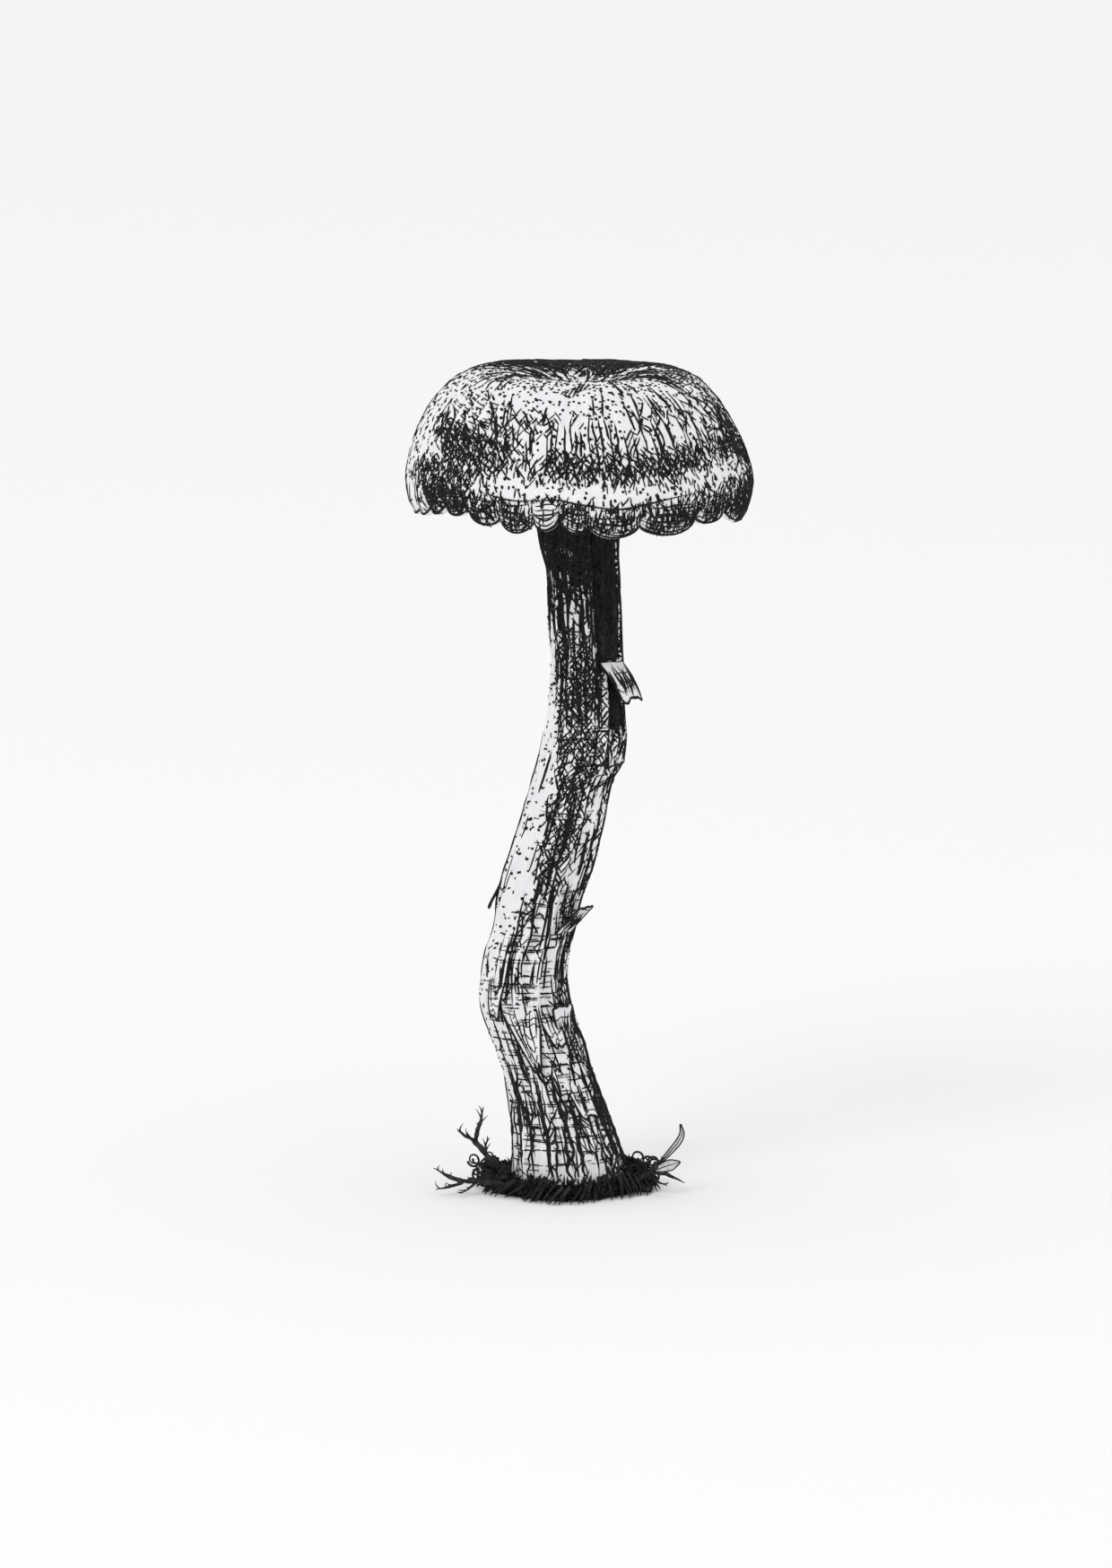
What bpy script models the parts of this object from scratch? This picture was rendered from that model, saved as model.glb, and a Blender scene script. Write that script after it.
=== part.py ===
"""Amethyst deceiver, a slender toadstool standing in its clod of moss, at real size.

Metres, +Z up. The origin is on the ground, straight below the middle of the cap. The picture was
drawn from -Y, so +X is the picture's right. Angles round the cap and the stem are in degrees from
+X, anticlockwise seen from above, so -90 faces the viewer.
"""

import math
import random

import bmesh
import bpy
from mathutils import Matrix, Vector, noise

MM = 0.001
NAME = "amethyst_deceiver"

# Cap: height of the lowest lobes above the ground, and how far the cap droops to the right.
RIM_HEIGHT = 76.4 * MM
CAP_TILT = math.radians(0.8)
CAP_MIDDLE_X = -0.05 * MM

# Cap skin from the navel over the shoulder to the margin: (radius, height above the rim), in mm.
CAP_SKIN = (
    (0.0, 13.7),
    (3.2, 14.6),
    (6.4, 15.7),
    (9.7, 16.0),
    (13.3, 15.4),
    (16.1, 13.3),
    (17.85, 10.6),
    (18.8, 7.6),
    (19.25, 4.4),
    (18.9, 1.6),
    (17.9, 0.0),
)
# Flesh under the skin, from the inside of the margin to the middle, in mm.
CAP_FLESH = (
    (17.0, 0.5),
    (17.5, 3.0),
    (17.0, 6.3),
    (15.0, 9.2),
    (11.5, 11.2),
    (6.0, 12.0),
    (0.0, 12.0),
)

# Where the margin's lobes meet, going round from the left end past the front to the back.
LOBE_CUSPS = (
    -178, -165, -155, -145, -133, -119, -106, -97, -87, -68.5, -44.5, -28, -2,
    13, 31, 45, 62, 81, 94, 113, 129, 146, 165, 182,
)  # fmt: skip
PARTS_PER_LOBE = 5
LOBE_DROP = 1.5 * MM
LOBE_ROUNDNESS = 0.45
LOBE_BULGE = 0.55 * MM
LOBE_REACH = 4.6 * MM
# Stretches where the whole margin swings up: (angle, spread in degrees, rise in mm).
MARGIN_SWINGS = (
    (-140, 20, 1.4),
    (-98, 9, 0.8),
    (-34, 11, 0.9),
    (70, 20, 1.1),
    (135, 24, 0.9),
)
SWING_REACH = 8.5 * MM
PLEAT_RELIEF = 0.16 * MM
PLEAT_ZONE = (5.0 * MM, 14.0 * MM)
# The groove round the cap, and where it climbs: (angle, spread in degrees, rise in mm).
GROOVE_DEPTH = 0.5 * MM
GROOVE_HEIGHT = 7.3 * MM
GROOVE_WIDTH = 2.3 * MM
GROOVE_CLIMBS = ((-158, 24, 6.0), (-28, 18, 2.2), (40, 24, 3.0), (118, 26, 3.5))

# Gills: radial blades from the stem to the margin, with a short one between each pair.
LONG_GILLS = 23
GILL_THICKNESS = 0.7 * MM
# (radius, height above the rim), in mm, round the blade's outline.
LONG_GILL = (
    (17.7, 1.9), (14.0, 2.0), (9.5, 2.9), (6.0, 5.0), (3.3, 7.6),
    (3.3, 12.6), (11.6, 12.2), (15.6, 9.9), (17.7, 6.6),
)  # fmt: skip
SHORT_GILL = ((17.7, 2.1), (14.6, 2.4), (11.2, 5.0), (10.4, 11.9), (15.6, 9.9), (17.7, 6.6))

# Stem stations from the foot to the cap's flesh: (height, middle in X, middle in Y, width), in mm.
STEM = (
    (1.1, -0.9, 0.0, 13.3),
    (5.6, -1.45, 0.2, 12.2),
    (11.7, -3.1, 0.6, 10.6),
    (17.4, -4.8, 1.0, 10.3),
    (20.8, -5.95, 1.0, 9.7),
    (24.0, -6.1, 0.9, 9.3),
    (26.8, -5.8, 0.6, 9.3),
    (29.4, -5.05, 0.4, 9.1),
    (33.0, -4.45, 0.0, 9.2),
    (37.5, -3.2, -0.5, 9.4),
    (42.1, -1.95, -0.8, 9.1),
    (46.0, -0.95, -0.9, 8.8),
    (48.6, 0.15, -0.9, 9.3),
    (51.3, 0.65, -0.8, 9.2),
    (54.3, 0.8, -0.7, 8.4),
    (59.0, 0.85, -0.5, 7.9),
    (63.5, 0.65, -0.3, 7.8),
    (70.5, 0.3, 0.0, 8.0),
    (73.0, -0.05, 0.0, 8.6),
    (76.5, -0.1, 0.0, 9.4),
    (89.0, 0.0, 0.0, 10.4),
)
STEM_SIDES = 26
STEM_RINGS = 42
STEM_DEPTH_SHARE = 0.93
STEM_TWIST = math.radians(35)
FIBRE_RELIEF = 0.17 * MM
LUMP_RELIEF = 0.3 * MM
LUMP_LENGTH = 9.0 * MM

# Torn strips of stem skin: root height mm, angle, width mm, length mm, +1 up or -1 down,
# lean, curl, and the share of its width lost at the tip. The first nine show in the picture.
STRIPS = (
    (61.0, -33, 4.3, 6.4, -1, 41, -30, 0.25),
    (36.8, 182, 1.0, 5.2, -1, 12, 6, 0.6),
    (28.4, -22, 2.4, 4.3, 1, 27, 6, 0.5),
    (17.0, -14, 2.0, 4.1, 1, 14, 4, 0.2),
    (23.0, -97, 6.0, 9.3, -1, 5, 2, 0.9),
    (21.8, -48, 3.4, 5.6, -1, 7, 3, 0.6),
    (25.0, -132, 2.6, 6.0, -1, 7, 3, 0.5),
    (13.0, -50, 3.2, 4.6, -1, 8, 3, 0.3),
    (52.9, -20, 5.0, 4.8, -1, 6, 4, 0.12),
    (67.0, 84, 2.2, 6.5, -1, 9, 5, 0.5),
    (55.0, 130, 3.6, 6.0, -1, 8, 8, 0.4),
    (44.0, 62, 3.4, 7.5, -1, 7, 4, 0.75),
    (31.5, 112, 2.6, 5.0, 1, 12, 6, 0.4),
    (25.5, 66, 4.6, 7.5, -1, 7, 3, 0.85),
    (15.0, 128, 3.2, 5.2, -1, 9, 4, 0.5),
)
STRIP_THICKNESS = 0.65 * MM
STRIP_SINK = 0.5 * MM

# Clod of humus and moss: its middle, its least plan radius, and where it reaches further out, as
# (angle, spread in degrees, reach in mm). Then (share of the radius, height in mm) down its side.
CLOD_MIDDLE = Vector((-1.2 * MM, 0.0, 0.0))
CLOD_RADIUS = 8.55 * MM
CLOD_REACHES = ((-178, 24, 2.0), (-4, 22, 2.0), (-102, 26, 0.9), (52, 30, 0.7), (128, 26, 1.0))
CLOD_PROFILE = ((0.0, 2.3), (0.6, 2.4), (0.8, 2.5), (0.93, 1.9), (1.0, 0.9), (0.96, 0.0), (0.0, 0.0))
CLOD_SIDES = 44
CLOD_LUMPS = 0.5 * MM
HOLE_GAP = 0.3 * MM

# Moss blades on the clod.
BLADES = 250
BLADE_LENGTH = (1.2 * MM, 2.5 * MM)
BLADE_RADIUS = 0.5 * MM
BLADE_SINK = 0.6 * MM
BLADE_FEET = (0.86, 1.0)
BLADE_CLEARANCE = 1.7 * MM

# Rootlets and sprig: chains of (x, y, z, radius), in mm. A chain starts inside the one it grows from.
TALL_TWIG = (
    ((-8.0, -1.4, 1.4, 0.42), (-9.4, -1.9, 3.1, 0.46), (-10.6, -2.2, 4.4, 0.5), (-11.7, -2.3, 5.8, 0.46)),
    ((-11.6, -2.3, 5.6, 0.4), (-11.35, -2.4, 6.8, 0.4), (-10.95, -2.6, 8.1, 0.34), (-10.75, -2.7, 9.4, 0.3)),
    ((-11.6, -2.3, 5.7, 0.38), (-12.5, -2.4, 6.2, 0.36), (-13.4, -2.5, 6.9, 0.3)),
)
LOW_TWIG = (
    ((-7.8, -4.2, 1.0, 0.44), (-10.2, -4.6, 1.35, 0.44), (-12.0, -4.6, 1.55, 0.42), (-13.3, -4.5, 1.6, 0.4)),
    ((-13.1, -4.5, 1.6, 0.38), (-14.5, -4.3, 2.05, 0.36), (-16.1, -4.2, 2.9, 0.3)),
    ((-12.9, -4.6, 1.6, 0.36), (-14.3, -5.0, 1.1, 0.34), (-15.8, -5.2, 0.75, 0.3)),
)
SPRIG_STALK = (
    ((6.4, -2.6, 1.2, 0.46), (7.6, -3.3, 2.1, 0.52), (8.5, -3.7, 3.0, 0.5), (9.5, -4.0, 4.2, 0.36)),
    ((8.0, -3.5, 2.5, 0.42), (9.4, -4.0, 2.3, 0.38), (10.5, -4.3, 2.2, 0.34), (11.5, -4.5, 1.5, 0.3)),
)
# Flat leaves of the sprig: middle line as (x, y, z, half width), in mm.
SPRIG_BLADE = (
    (9.1, -3.9, 3.7, 0.35), (10.1, -4.1, 4.8, 0.55), (11.0, -4.2, 5.8, 0.6), (11.4, -4.2, 6.8, 0.5), (11.2, -4.2, 7.7, 0.3),
)  # fmt: skip
SPRIG_LEAF = (
    (8.3, -3.6, 2.7, 0.3), (9.4, -4.2, 3.1, 0.55), (10.3, -4.4, 3.4, 0.6), (11.1, -4.5, 3.65, 0.35),
)  # fmt: skip
LEAF_THICKNESS = 0.6 * MM
TWIG_BEVEL = 1 * MM
TWIG_SIDES_RESOLUTION = 2

# Colours and finish, read from the drawing: pale grey flesh, near-black ink-dark ground.
PALE_FLESH = ((0.86, 0.86, 0.87), 0.62)
DARK_MOSS = ((0.03, 0.03, 0.032), 0.85)
DARK_TWIG = ((0.045, 0.045, 0.048), 0.75)


def clear_scene():
    """Starts from an empty scene."""
    for obj in list(bpy.data.objects):
        bpy.data.objects.remove(obj)


def new_collection(name):
    made = bpy.data.collections.new(name)
    bpy.context.scene.collection.children.link(made)
    return made


def new_object(name, data, collection):
    obj = bpy.data.objects.new(name, data)
    collection.objects.link(obj)
    return obj


def helper(obj):
    """Marks a cutter or a guide, which is no piece of the toadstool."""
    obj.hide_render = True
    obj.display_type = "WIRE"
    return obj


def material(name, finish):
    colour, roughness = finish
    made = bpy.data.materials.new(name)
    made.use_nodes = True
    shader = made.node_tree.nodes["Principled BSDF"]
    shader.inputs["Base Color"].default_value = (*colour, 1.0)
    shader.inputs["Roughness"].default_value = roughness
    shader.inputs["Metallic"].default_value = 0.0
    return made


def evaluated_mesh(obj):
    """The object's mesh with its modifiers, or its curve bevel, applied."""
    graph = bpy.context.evaluated_depsgraph_get()
    return bpy.data.meshes.new_from_object(obj.evaluated_get(graph))


def closed_mesh(mesh):
    """Welds the seams of a closed shape and points its faces outwards."""
    work = bmesh.new()
    work.from_mesh(mesh)
    bmesh.ops.remove_doubles(work, verts=work.verts, dist=0.002 * MM)
    bmesh.ops.recalc_face_normals(work, faces=work.faces)
    work.to_mesh(mesh)
    work.free()
    return mesh


def smoothstep(low, high, value):
    share = min(1.0, max(0.0, (value - low) / (high - low)))
    return share * share * (3 - 2 * share)


def turned(name, profile, sides, collection):
    """A profile of (radius, height) turned round the Z axis into a closed mesh object."""
    mesh = bpy.data.meshes.new(name)
    points = [(radius, 0.0, height) for radius, height in profile]
    mesh.from_pydata(points, [(i, i + 1) for i in range(len(points) - 1)], [])
    obj = new_object(name, mesh, collection)
    screw = obj.modifiers.new("turn", "SCREW")
    screw.angle = math.tau
    screw.steps = screw.render_steps = sides
    screw.use_merge_vertices = True
    screw.merge_threshold = 0.005 * MM
    solid = closed_mesh(evaluated_mesh(obj))
    obj.modifiers.remove(screw)
    obj.data = solid
    return obj


def fill_pockets(mesh):
    """Removes the shells of the small pockets that crossing pieces seal between them."""
    work = bmesh.new()
    work.from_mesh(mesh)
    waiting = set(work.faces)
    while waiting:
        shell, edge = set(), {waiting.pop()}
        while edge:
            face = edge.pop()
            shell.add(face)
            edge |= {other for side in face.edges for other in side.link_faces} - shell
        waiting -= shell
        room = sum(
            face.calc_center_median().dot(face.normal) * face.calc_area() for face in shell
        )
        if room < 0.0 or len(shell) < 8:
            bmesh.ops.delete(work, geom=list(shell), context="FACES")
    work.to_mesh(mesh)
    work.free()
    return mesh


def fuse(target, pieces):
    """Joins the pieces to the target in one Boolean union, then removes them."""
    group = new_collection("to_fuse")
    for piece in pieces:
        for old in list(piece.users_collection):
            old.objects.unlink(piece)
        group.objects.link(piece)
    union = target.modifiers.new("fuse", "BOOLEAN")
    union.operation = "UNION"
    union.operand_type = "COLLECTION"
    union.collection = group
    union.solver = "EXACT"
    joined = fill_pockets(evaluated_mesh(target))
    target.modifiers.remove(union)
    target.data = joined
    for piece in pieces:
        bpy.data.objects.remove(piece)
    bpy.data.collections.remove(group)
    return target


def station_value(stations, height, column):
    """A station table read between its rows on a smooth curve, height in mm."""
    rows = [row[0] for row in stations]
    height = min(max(height, rows[0]), rows[-1])
    i = max(k for k in range(len(rows) - 1) if rows[k] <= height)

    def slope(k):
        low, high = max(k - 1, 0), min(k + 1, len(rows) - 1)
        return (stations[high][column] - stations[low][column]) / (rows[high] - rows[low])

    span = rows[i + 1] - rows[i]
    t = (height - rows[i]) / span
    start, end = stations[i][column], stations[i + 1][column]
    return (
        (2 * t**3 - 3 * t**2 + 1) * start
        + (t**3 - 2 * t**2 + t) * span * slope(i)
        + (3 * t**2 - 2 * t**3) * end
        + (t**3 - t**2) * span * slope(i + 1)
    )


def lobe_place(angle):
    """Maps an even angle to its place among the uneven lobes: (true angle, phase in the lobe)."""
    lobes = len(LOBE_CUSPS) - 1
    steps = lobes * PARTS_PER_LOBE
    step = round(angle / math.tau * steps) % steps
    lobe, part = divmod(step, PARTS_PER_LOBE)
    start, end = LOBE_CUSPS[lobe], LOBE_CUSPS[lobe + 1]
    phase = part / PARTS_PER_LOBE
    return math.radians(start + (end - start) * phase), phase, step


def spread_sum(bumps, angle):
    """What the (angle, spread, amount in mm) bumps add up to in one direction."""
    total = 0.0
    for middle, spread, amount in bumps:
        away = (math.degrees(angle) - middle + 180) % 360 - 180
        total += amount * MM * math.exp(-((away / spread) ** 2))
    return total


def shape_cap(mesh):
    """Raises the lobes, the radial pleats and the groove on the turned cap, and tilts it."""
    for vertex in mesh.vertices:
        x, y, height = vertex.co
        radius = math.hypot(x, y)
        if radius > 0.01 * MM:
            angle, phase, step = lobe_place(math.atan2(y, x))
            lobe = math.sin(math.pi * phase) ** LOBE_ROUNDNESS if phase else 0.0
            near_rim = 1 - smoothstep(0.0, LOBE_REACH, height)
            in_pleats = smoothstep(PLEAT_ZONE[0], PLEAT_ZONE[0] + 2 * MM, height) * (
                1 - smoothstep(PLEAT_ZONE[1] - 3 * MM, PLEAT_ZONE[1], height)
            )
            outer = 1.0 if radius > 17.6 * MM or height > 12.3 * MM else 0.0
            pleat = PLEAT_RELIEF * in_pleats * outer * (1 if step % 2 else -1)
            facing = math.sin(angle) ** 2
            groove_height = GROOVE_HEIGHT + spread_sum(GROOVE_CLIMBS, angle)
            groove = math.exp(-(((height - groove_height) / GROOVE_WIDTH) ** 2)) * facing
            swing = spread_sum(MARGIN_SWINGS, angle) * (1 - smoothstep(0.0, SWING_REACH, height))
            radius += near_rim * LOBE_BULGE * (lobe - 0.6) + pleat - GROOVE_DEPTH * groove
            height += near_rim * LOBE_DROP * (1 - lobe) + swing
            x, y = radius * math.cos(angle), radius * math.sin(angle)
        vertex.co = Vector((x, y, height))
    mesh.transform(cap_place())


def cap_place():
    return Matrix.Translation((CAP_MIDDLE_X, 0, RIM_HEIGHT)) @ Matrix.Rotation(CAP_TILT, 4, "Y")


def make_cap(collection):
    """The cap: skin outside, flesh inside, scalloped all round its margin."""
    profile = [(r * MM, h * MM) for r, h in (*CAP_SKIN, *CAP_FLESH)]
    cap = turned("mushroom", profile, (len(LOBE_CUSPS) - 1) * PARTS_PER_LOBE, collection)
    shape_cap(cap.data)
    return cap


def gill_mesh(name, outline):
    """One blade, flat in the XZ plane, from its outline."""
    curve = bpy.data.curves.new(name, "CURVE")
    curve.dimensions = "2D"
    curve.fill_mode = "BOTH"
    curve.extrude = GILL_THICKNESS / 2
    spline = curve.splines.new("POLY")
    spline.points.add(len(outline) - 1)
    for point, (radius, height) in zip(spline.points, outline):
        point.co = (radius * MM, height * MM, 0.0, 1.0)
    spline.use_cyclic_u = True
    drawn = helper(new_object(name, curve, bpy.context.scene.collection))
    mesh = closed_mesh(evaluated_mesh(drawn))
    bpy.data.objects.remove(drawn)
    mesh.transform(Matrix.Rotation(math.radians(90), 4, "X"))
    return mesh


def make_gills(collection):
    long_blade = gill_mesh("long_gill", LONG_GILL)
    short_blade = gill_mesh("short_gill", SHORT_GILL)
    pieces = []
    for i in range(2 * LONG_GILLS):
        blade = (short_blade if i % 2 else long_blade).copy()
        turn = Matrix.Rotation(math.tau * i / (2 * LONG_GILLS), 4, "Z")
        blade.transform(cap_place() @ turn)
        pieces.append(new_object(f"gill_{i}", blade, collection))
    return pieces


def stem_point(height, angle, out=0.0):
    """A point of the stem's surface, or out from it, at a height and an angle in radians."""
    high = height / MM
    middle = Vector((station_value(STEM, high, 1) * MM, station_value(STEM, high, 2) * MM, height))
    width = station_value(STEM, high, 3) * MM / 2
    cross = Vector((math.cos(angle), STEM_DEPTH_SHARE * math.sin(angle), 0.0))
    direction = Vector((math.cos(angle), math.sin(angle), 0.0))
    lumps = LUMP_RELIEF * noise.noise(Vector((*(direction.xy * 1.4), height / LUMP_LENGTH)))
    return middle + cross * width + direction * (out + lumps)


def make_stem(collection):
    """The stem: a turned rod bent through its stations, with fibre ridges that wind slowly."""
    foot, top = STEM[0][0] * MM, STEM[-1][0] * MM
    heights = [foot + (top - foot) * i / STEM_RINGS for i in range(STEM_RINGS + 1)]
    profile = [(0.0, top), *((1.0 * MM, h) for h in reversed(heights)), (0.0, foot)]
    stem = turned("stem", profile, STEM_SIDES, collection)
    for vertex in stem.data.vertices:
        x, y, height = vertex.co
        if math.hypot(x, y) < 0.01 * MM:
            vertex.co = (stem_point(height, 0.0) + stem_point(height, math.pi)) / 2
            continue
        angle = math.atan2(y, x)
        ridge = 1 if round(angle / math.tau * STEM_SIDES) % 2 else -1
        angle += STEM_TWIST * (height - foot) / (top - foot)
        vertex.co = stem_point(height, angle, FIBRE_RELIEF * ridge)
    return stem


def make_strip(number, strip, collection):
    """One torn strip: rooted in the stem, it follows its curve and bends away to a free end."""
    root, angle, width, length, way, lean, curl, taper = strip
    root, width, length = root * MM, width * MM, length * MM
    angle, lean, curl = (math.radians(value) for value in (angle, lean, curl))
    work = bmesh.new()
    across = max(2, round(width / (1.5 * MM)))
    bmesh.ops.create_grid(work, x_segments=across, y_segments=5, size=0.5)
    for vertex in work.verts:
        side, share = vertex.co.x, vertex.co.y + 0.5
        out = length * (math.cos(lean) - math.cos(lean + curl * share)) / curl - STRIP_SINK
        run = length * (math.sin(lean + curl * share) - math.sin(lean)) / curl
        height = root + way * run
        stem_radius = station_value(STEM, height / MM, 3) * MM / 2
        turn = side * width * (1 - taper * share) / (stem_radius + max(out, 0.0))
        vertex.co = stem_point(height, angle + turn, out)
    mesh = bpy.data.meshes.new("strip")
    work.to_mesh(mesh)
    work.free()
    obj = new_object(f"strip_{number}", mesh, collection)
    wall = obj.modifiers.new("wall", "SOLIDIFY")
    wall.thickness = STRIP_THICKNESS
    wall.offset = 0.0
    solid = closed_mesh(evaluated_mesh(obj))
    obj.modifiers.remove(wall)
    obj.data = solid
    return obj


def make_mushroom(collection):
    """Cap, gills, stem and torn strips grew as one piece, so they are joined in one."""
    cap = make_cap(collection)
    gills = make_gills(collection)
    stem = make_stem(collection)
    strips = [make_strip(i, strip, collection) for i, strip in enumerate(STRIPS)]
    mushroom = fuse(cap, [*gills, stem, *strips])
    mushroom.data.materials.append(material("pale_flesh", PALE_FLESH))
    return mushroom


def rod_along(name, chain, collection, extra=0.0):
    """A tapering rod through (x, y, z, radius) points in mm, as a closed mesh object."""
    curve = bpy.data.curves.new(name, "CURVE")
    curve.dimensions = "3D"
    curve.bevel_depth = TWIG_BEVEL
    curve.bevel_resolution = TWIG_SIDES_RESOLUTION
    curve.use_fill_caps = True
    spline = curve.splines.new("POLY")
    spline.points.add(len(chain) - 1)
    for point, (x, y, z, radius) in zip(spline.points, chain):
        point.co = (x * MM, y * MM, z * MM, 1.0)
        point.radius = (radius * MM + extra) / TWIG_BEVEL
    drawn = new_object(name, curve, collection)
    mesh = closed_mesh(evaluated_mesh(drawn))
    bpy.data.objects.remove(drawn)
    return new_object(name, mesh, collection)


def leaf_along(name, line, collection):
    """A flat leaf 0.6 mm thick: a strip of grid laid along its middle line, given a wall."""
    work = bmesh.new()
    bmesh.ops.create_grid(work, x_segments=2, y_segments=len(line) - 1, size=0.5)
    for vertex in work.verts:
        row = round((vertex.co.y + 0.5) * (len(line) - 1))
        x, y, z, half = line[row]
        before, after = Vector(line[max(row - 1, 0)][:3]), Vector(line[min(row + 1, len(line) - 1)][:3])
        along = (after - before).normalized()
        side = Vector((0.0, 1.0, 0.0)).cross(along).normalized()
        fold = 0.25 * half * (abs(vertex.co.x) * 2) ** 2
        vertex.co = (Vector((x, y - fold, z)) + side * (vertex.co.x * 2 * half)) * MM
    mesh = bpy.data.meshes.new(name)
    work.to_mesh(mesh)
    work.free()
    obj = new_object(name, mesh, collection)
    wall = obj.modifiers.new("wall", "SOLIDIFY")
    wall.thickness = LEAF_THICKNESS
    wall.offset = 0.0
    solid = closed_mesh(evaluated_mesh(obj))
    obj.modifiers.remove(wall)
    obj.data = solid
    return obj


def make_twig(name, chains, collection, leaves=()):
    """A forked rootlet, or the sprig with its leaves, joined in one piece."""
    rods = [rod_along(f"{name}_{i}", chain, collection) for i, chain in enumerate(chains)]
    pieces = [leaf_along(f"{name}_leaf_{i}", line, collection) for i, line in enumerate(leaves)]
    twig = fuse(rods[0], [*rods[1:], *pieces])
    twig.name = name
    twig.data.materials.append(material(name, DARK_TWIG))
    return twig


def clod_edge(angle):
    """The clod's plan radius in a direction, from the middle of the clod."""
    return CLOD_RADIUS + spread_sum(CLOD_REACHES, angle) + 0.15 * MM * math.sin(9 * angle)


def make_clod_body(collection):
    """The humus: a low lumpy mound with a flat underside."""
    profile = [(share * MM, height * MM) for share, height in CLOD_PROFILE]
    clod = turned("moss_clod", profile, CLOD_SIDES, collection)
    for vertex in clod.data.vertices:
        x, y, height = vertex.co
        angle = math.atan2(y, x)
        reach = math.hypot(x, y) / MM * clod_edge(angle)
        place = CLOD_MIDDLE + Vector((reach * math.cos(angle), reach * math.sin(angle), height))
        if height > 0.1 * MM:
            lump = CLOD_LUMPS * noise.noise(place / (2.6 * MM))
            place += Vector((math.cos(angle), math.sin(angle), 0.8)) * lump
        vertex.co = place
    return clod


def clear_of_twigs(point):
    """True where a moss blade leaves room for the rootlets and the sprig."""
    for chain in (*TALL_TWIG, *LOW_TWIG, *SPRIG_STALK, SPRIG_BLADE, SPRIG_LEAF):
        for start, end in zip(chain, chain[1:]):
            a, b = Vector(start[:3]) * MM, Vector(end[:3]) * MM
            share = min(1.0, max(0.0, (point - a).dot(b - a) / (b - a).length_squared))
            if (a.lerp(b, share) - point).length < BLADE_CLEARANCE:
                return False
    return True


def make_moss_blades(collection):
    """Three-sided pointed blades, upright near the stem and leaning out at the clod's edge."""
    draw = random.Random(7)
    pieces = []
    while len(pieces) < BLADES:
        angle = draw.uniform(0, math.tau)
        share = draw.uniform(*BLADE_FEET)
        edge = clod_edge(angle) * share
        outward = smoothstep(*BLADE_FEET, share)
        height = (2.3 - 1.3 * outward) * MM
        foot = CLOD_MIDDLE + Vector((edge * math.cos(angle), edge * math.sin(angle), height))
        out = Vector((math.cos(angle), math.sin(angle), 0.0))
        sweep = Vector((-math.sin(angle), math.cos(angle), 0.0)) * draw.uniform(-0.6, 0.6)
        rise = draw.uniform(0.4, 1.0) * (1 - outward) + draw.uniform(0.0, 0.8) * outward
        direction = (out * draw.uniform(0.4, 0.9) + sweep + Vector((0, 0, rise))).normalized()
        length = draw.uniform(*BLADE_LENGTH)
        if not (clear_of_twigs(foot) and clear_of_twigs(foot + direction * length)):
            continue
        work = bmesh.new()
        bmesh.ops.create_cone(
            work,
            cap_ends=True,
            segments=3,
            radius1=BLADE_RADIUS,
            radius2=0.0,
            depth=length + BLADE_SINK,
        )
        stand = Matrix.Translation((0, 0, (length - BLADE_SINK) / 2))
        turn = direction.to_track_quat("Z", "Y").to_matrix().to_4x4()
        bmesh.ops.transform(work, matrix=Matrix.Translation(foot) @ turn @ stand, verts=work.verts)
        mesh = bpy.data.meshes.new("blade")
        work.to_mesh(mesh)
        work.free()
        pieces.append(new_object(f"blade_{len(pieces)}", closed_mesh(mesh), collection))
    return pieces


def stem_hole(collection):
    """Cutter for the plain hole that the foot of the stem stands in."""
    foot, middle_x, middle_y, width = STEM[0]
    rim = FIBRE_RELIEF + LUMP_RELIEF + HOLE_GAP
    tall = 6 * MM
    work = bmesh.new()
    bmesh.ops.create_cone(
        work,
        cap_ends=True,
        segments=32,
        radius1=width * MM / 2 + rim,
        radius2=STEM[1][3] * MM / 2 + rim,
        depth=tall,
    )
    middle = Vector((middle_x * MM, middle_y * MM, foot * MM - HOLE_GAP + tall / 2))
    bmesh.ops.translate(work, vec=middle, verts=work.verts)
    mesh = bpy.data.meshes.new("stem_hole")
    work.to_mesh(mesh)
    work.free()
    return helper(new_object("stem_hole", mesh, collection))


def make_moss_clod(collection, cutters):
    """The clod with its moss, and with plain holes for all that stands in it."""
    clod = fuse(make_clod_body(collection), make_moss_blades(collection))
    holes = [stem_hole(cutters)]
    for name, chains in (("tall", TALL_TWIG), ("low", LOW_TWIG), ("sprig", SPRIG_STALK)):
        holes.append(helper(rod_along(f"{name}_hole", chains[0], cutters, HOLE_GAP)))
    for hole in holes:
        cut = clod.modifiers.new(hole.name, "BOOLEAN")
        cut.operation = "DIFFERENCE"
        cut.object = hole
        cut.solver = "EXACT"
    clod.data.materials.append(material("dark_moss", DARK_MOSS))
    return clod


def main():
    clear_scene()
    parts = new_collection(NAME)
    cutters = new_collection("cutters")
    make_mushroom(parts)
    make_moss_clod(parts, cutters)
    make_twig("twig_left_tall", TALL_TWIG, parts)
    make_twig("twig_left_low", LOW_TWIG, parts)
    make_twig("sprig_right", SPRIG_STALK, parts, (SPRIG_BLADE, SPRIG_LEAF))


main()
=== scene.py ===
"""Looks of the amethyst deceiver: its skins, fibrils, torn strips, gills, moss and rootlets.

Metres, +Z up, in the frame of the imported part. Tables are in millimetres and degrees. Angles go
round the stem and the cap from +X, anticlockwise seen from above, so -90 faces the viewer.
"""

import math
import random

import bmesh
import bpy
import numpy as np
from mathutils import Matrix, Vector, noise


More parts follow.
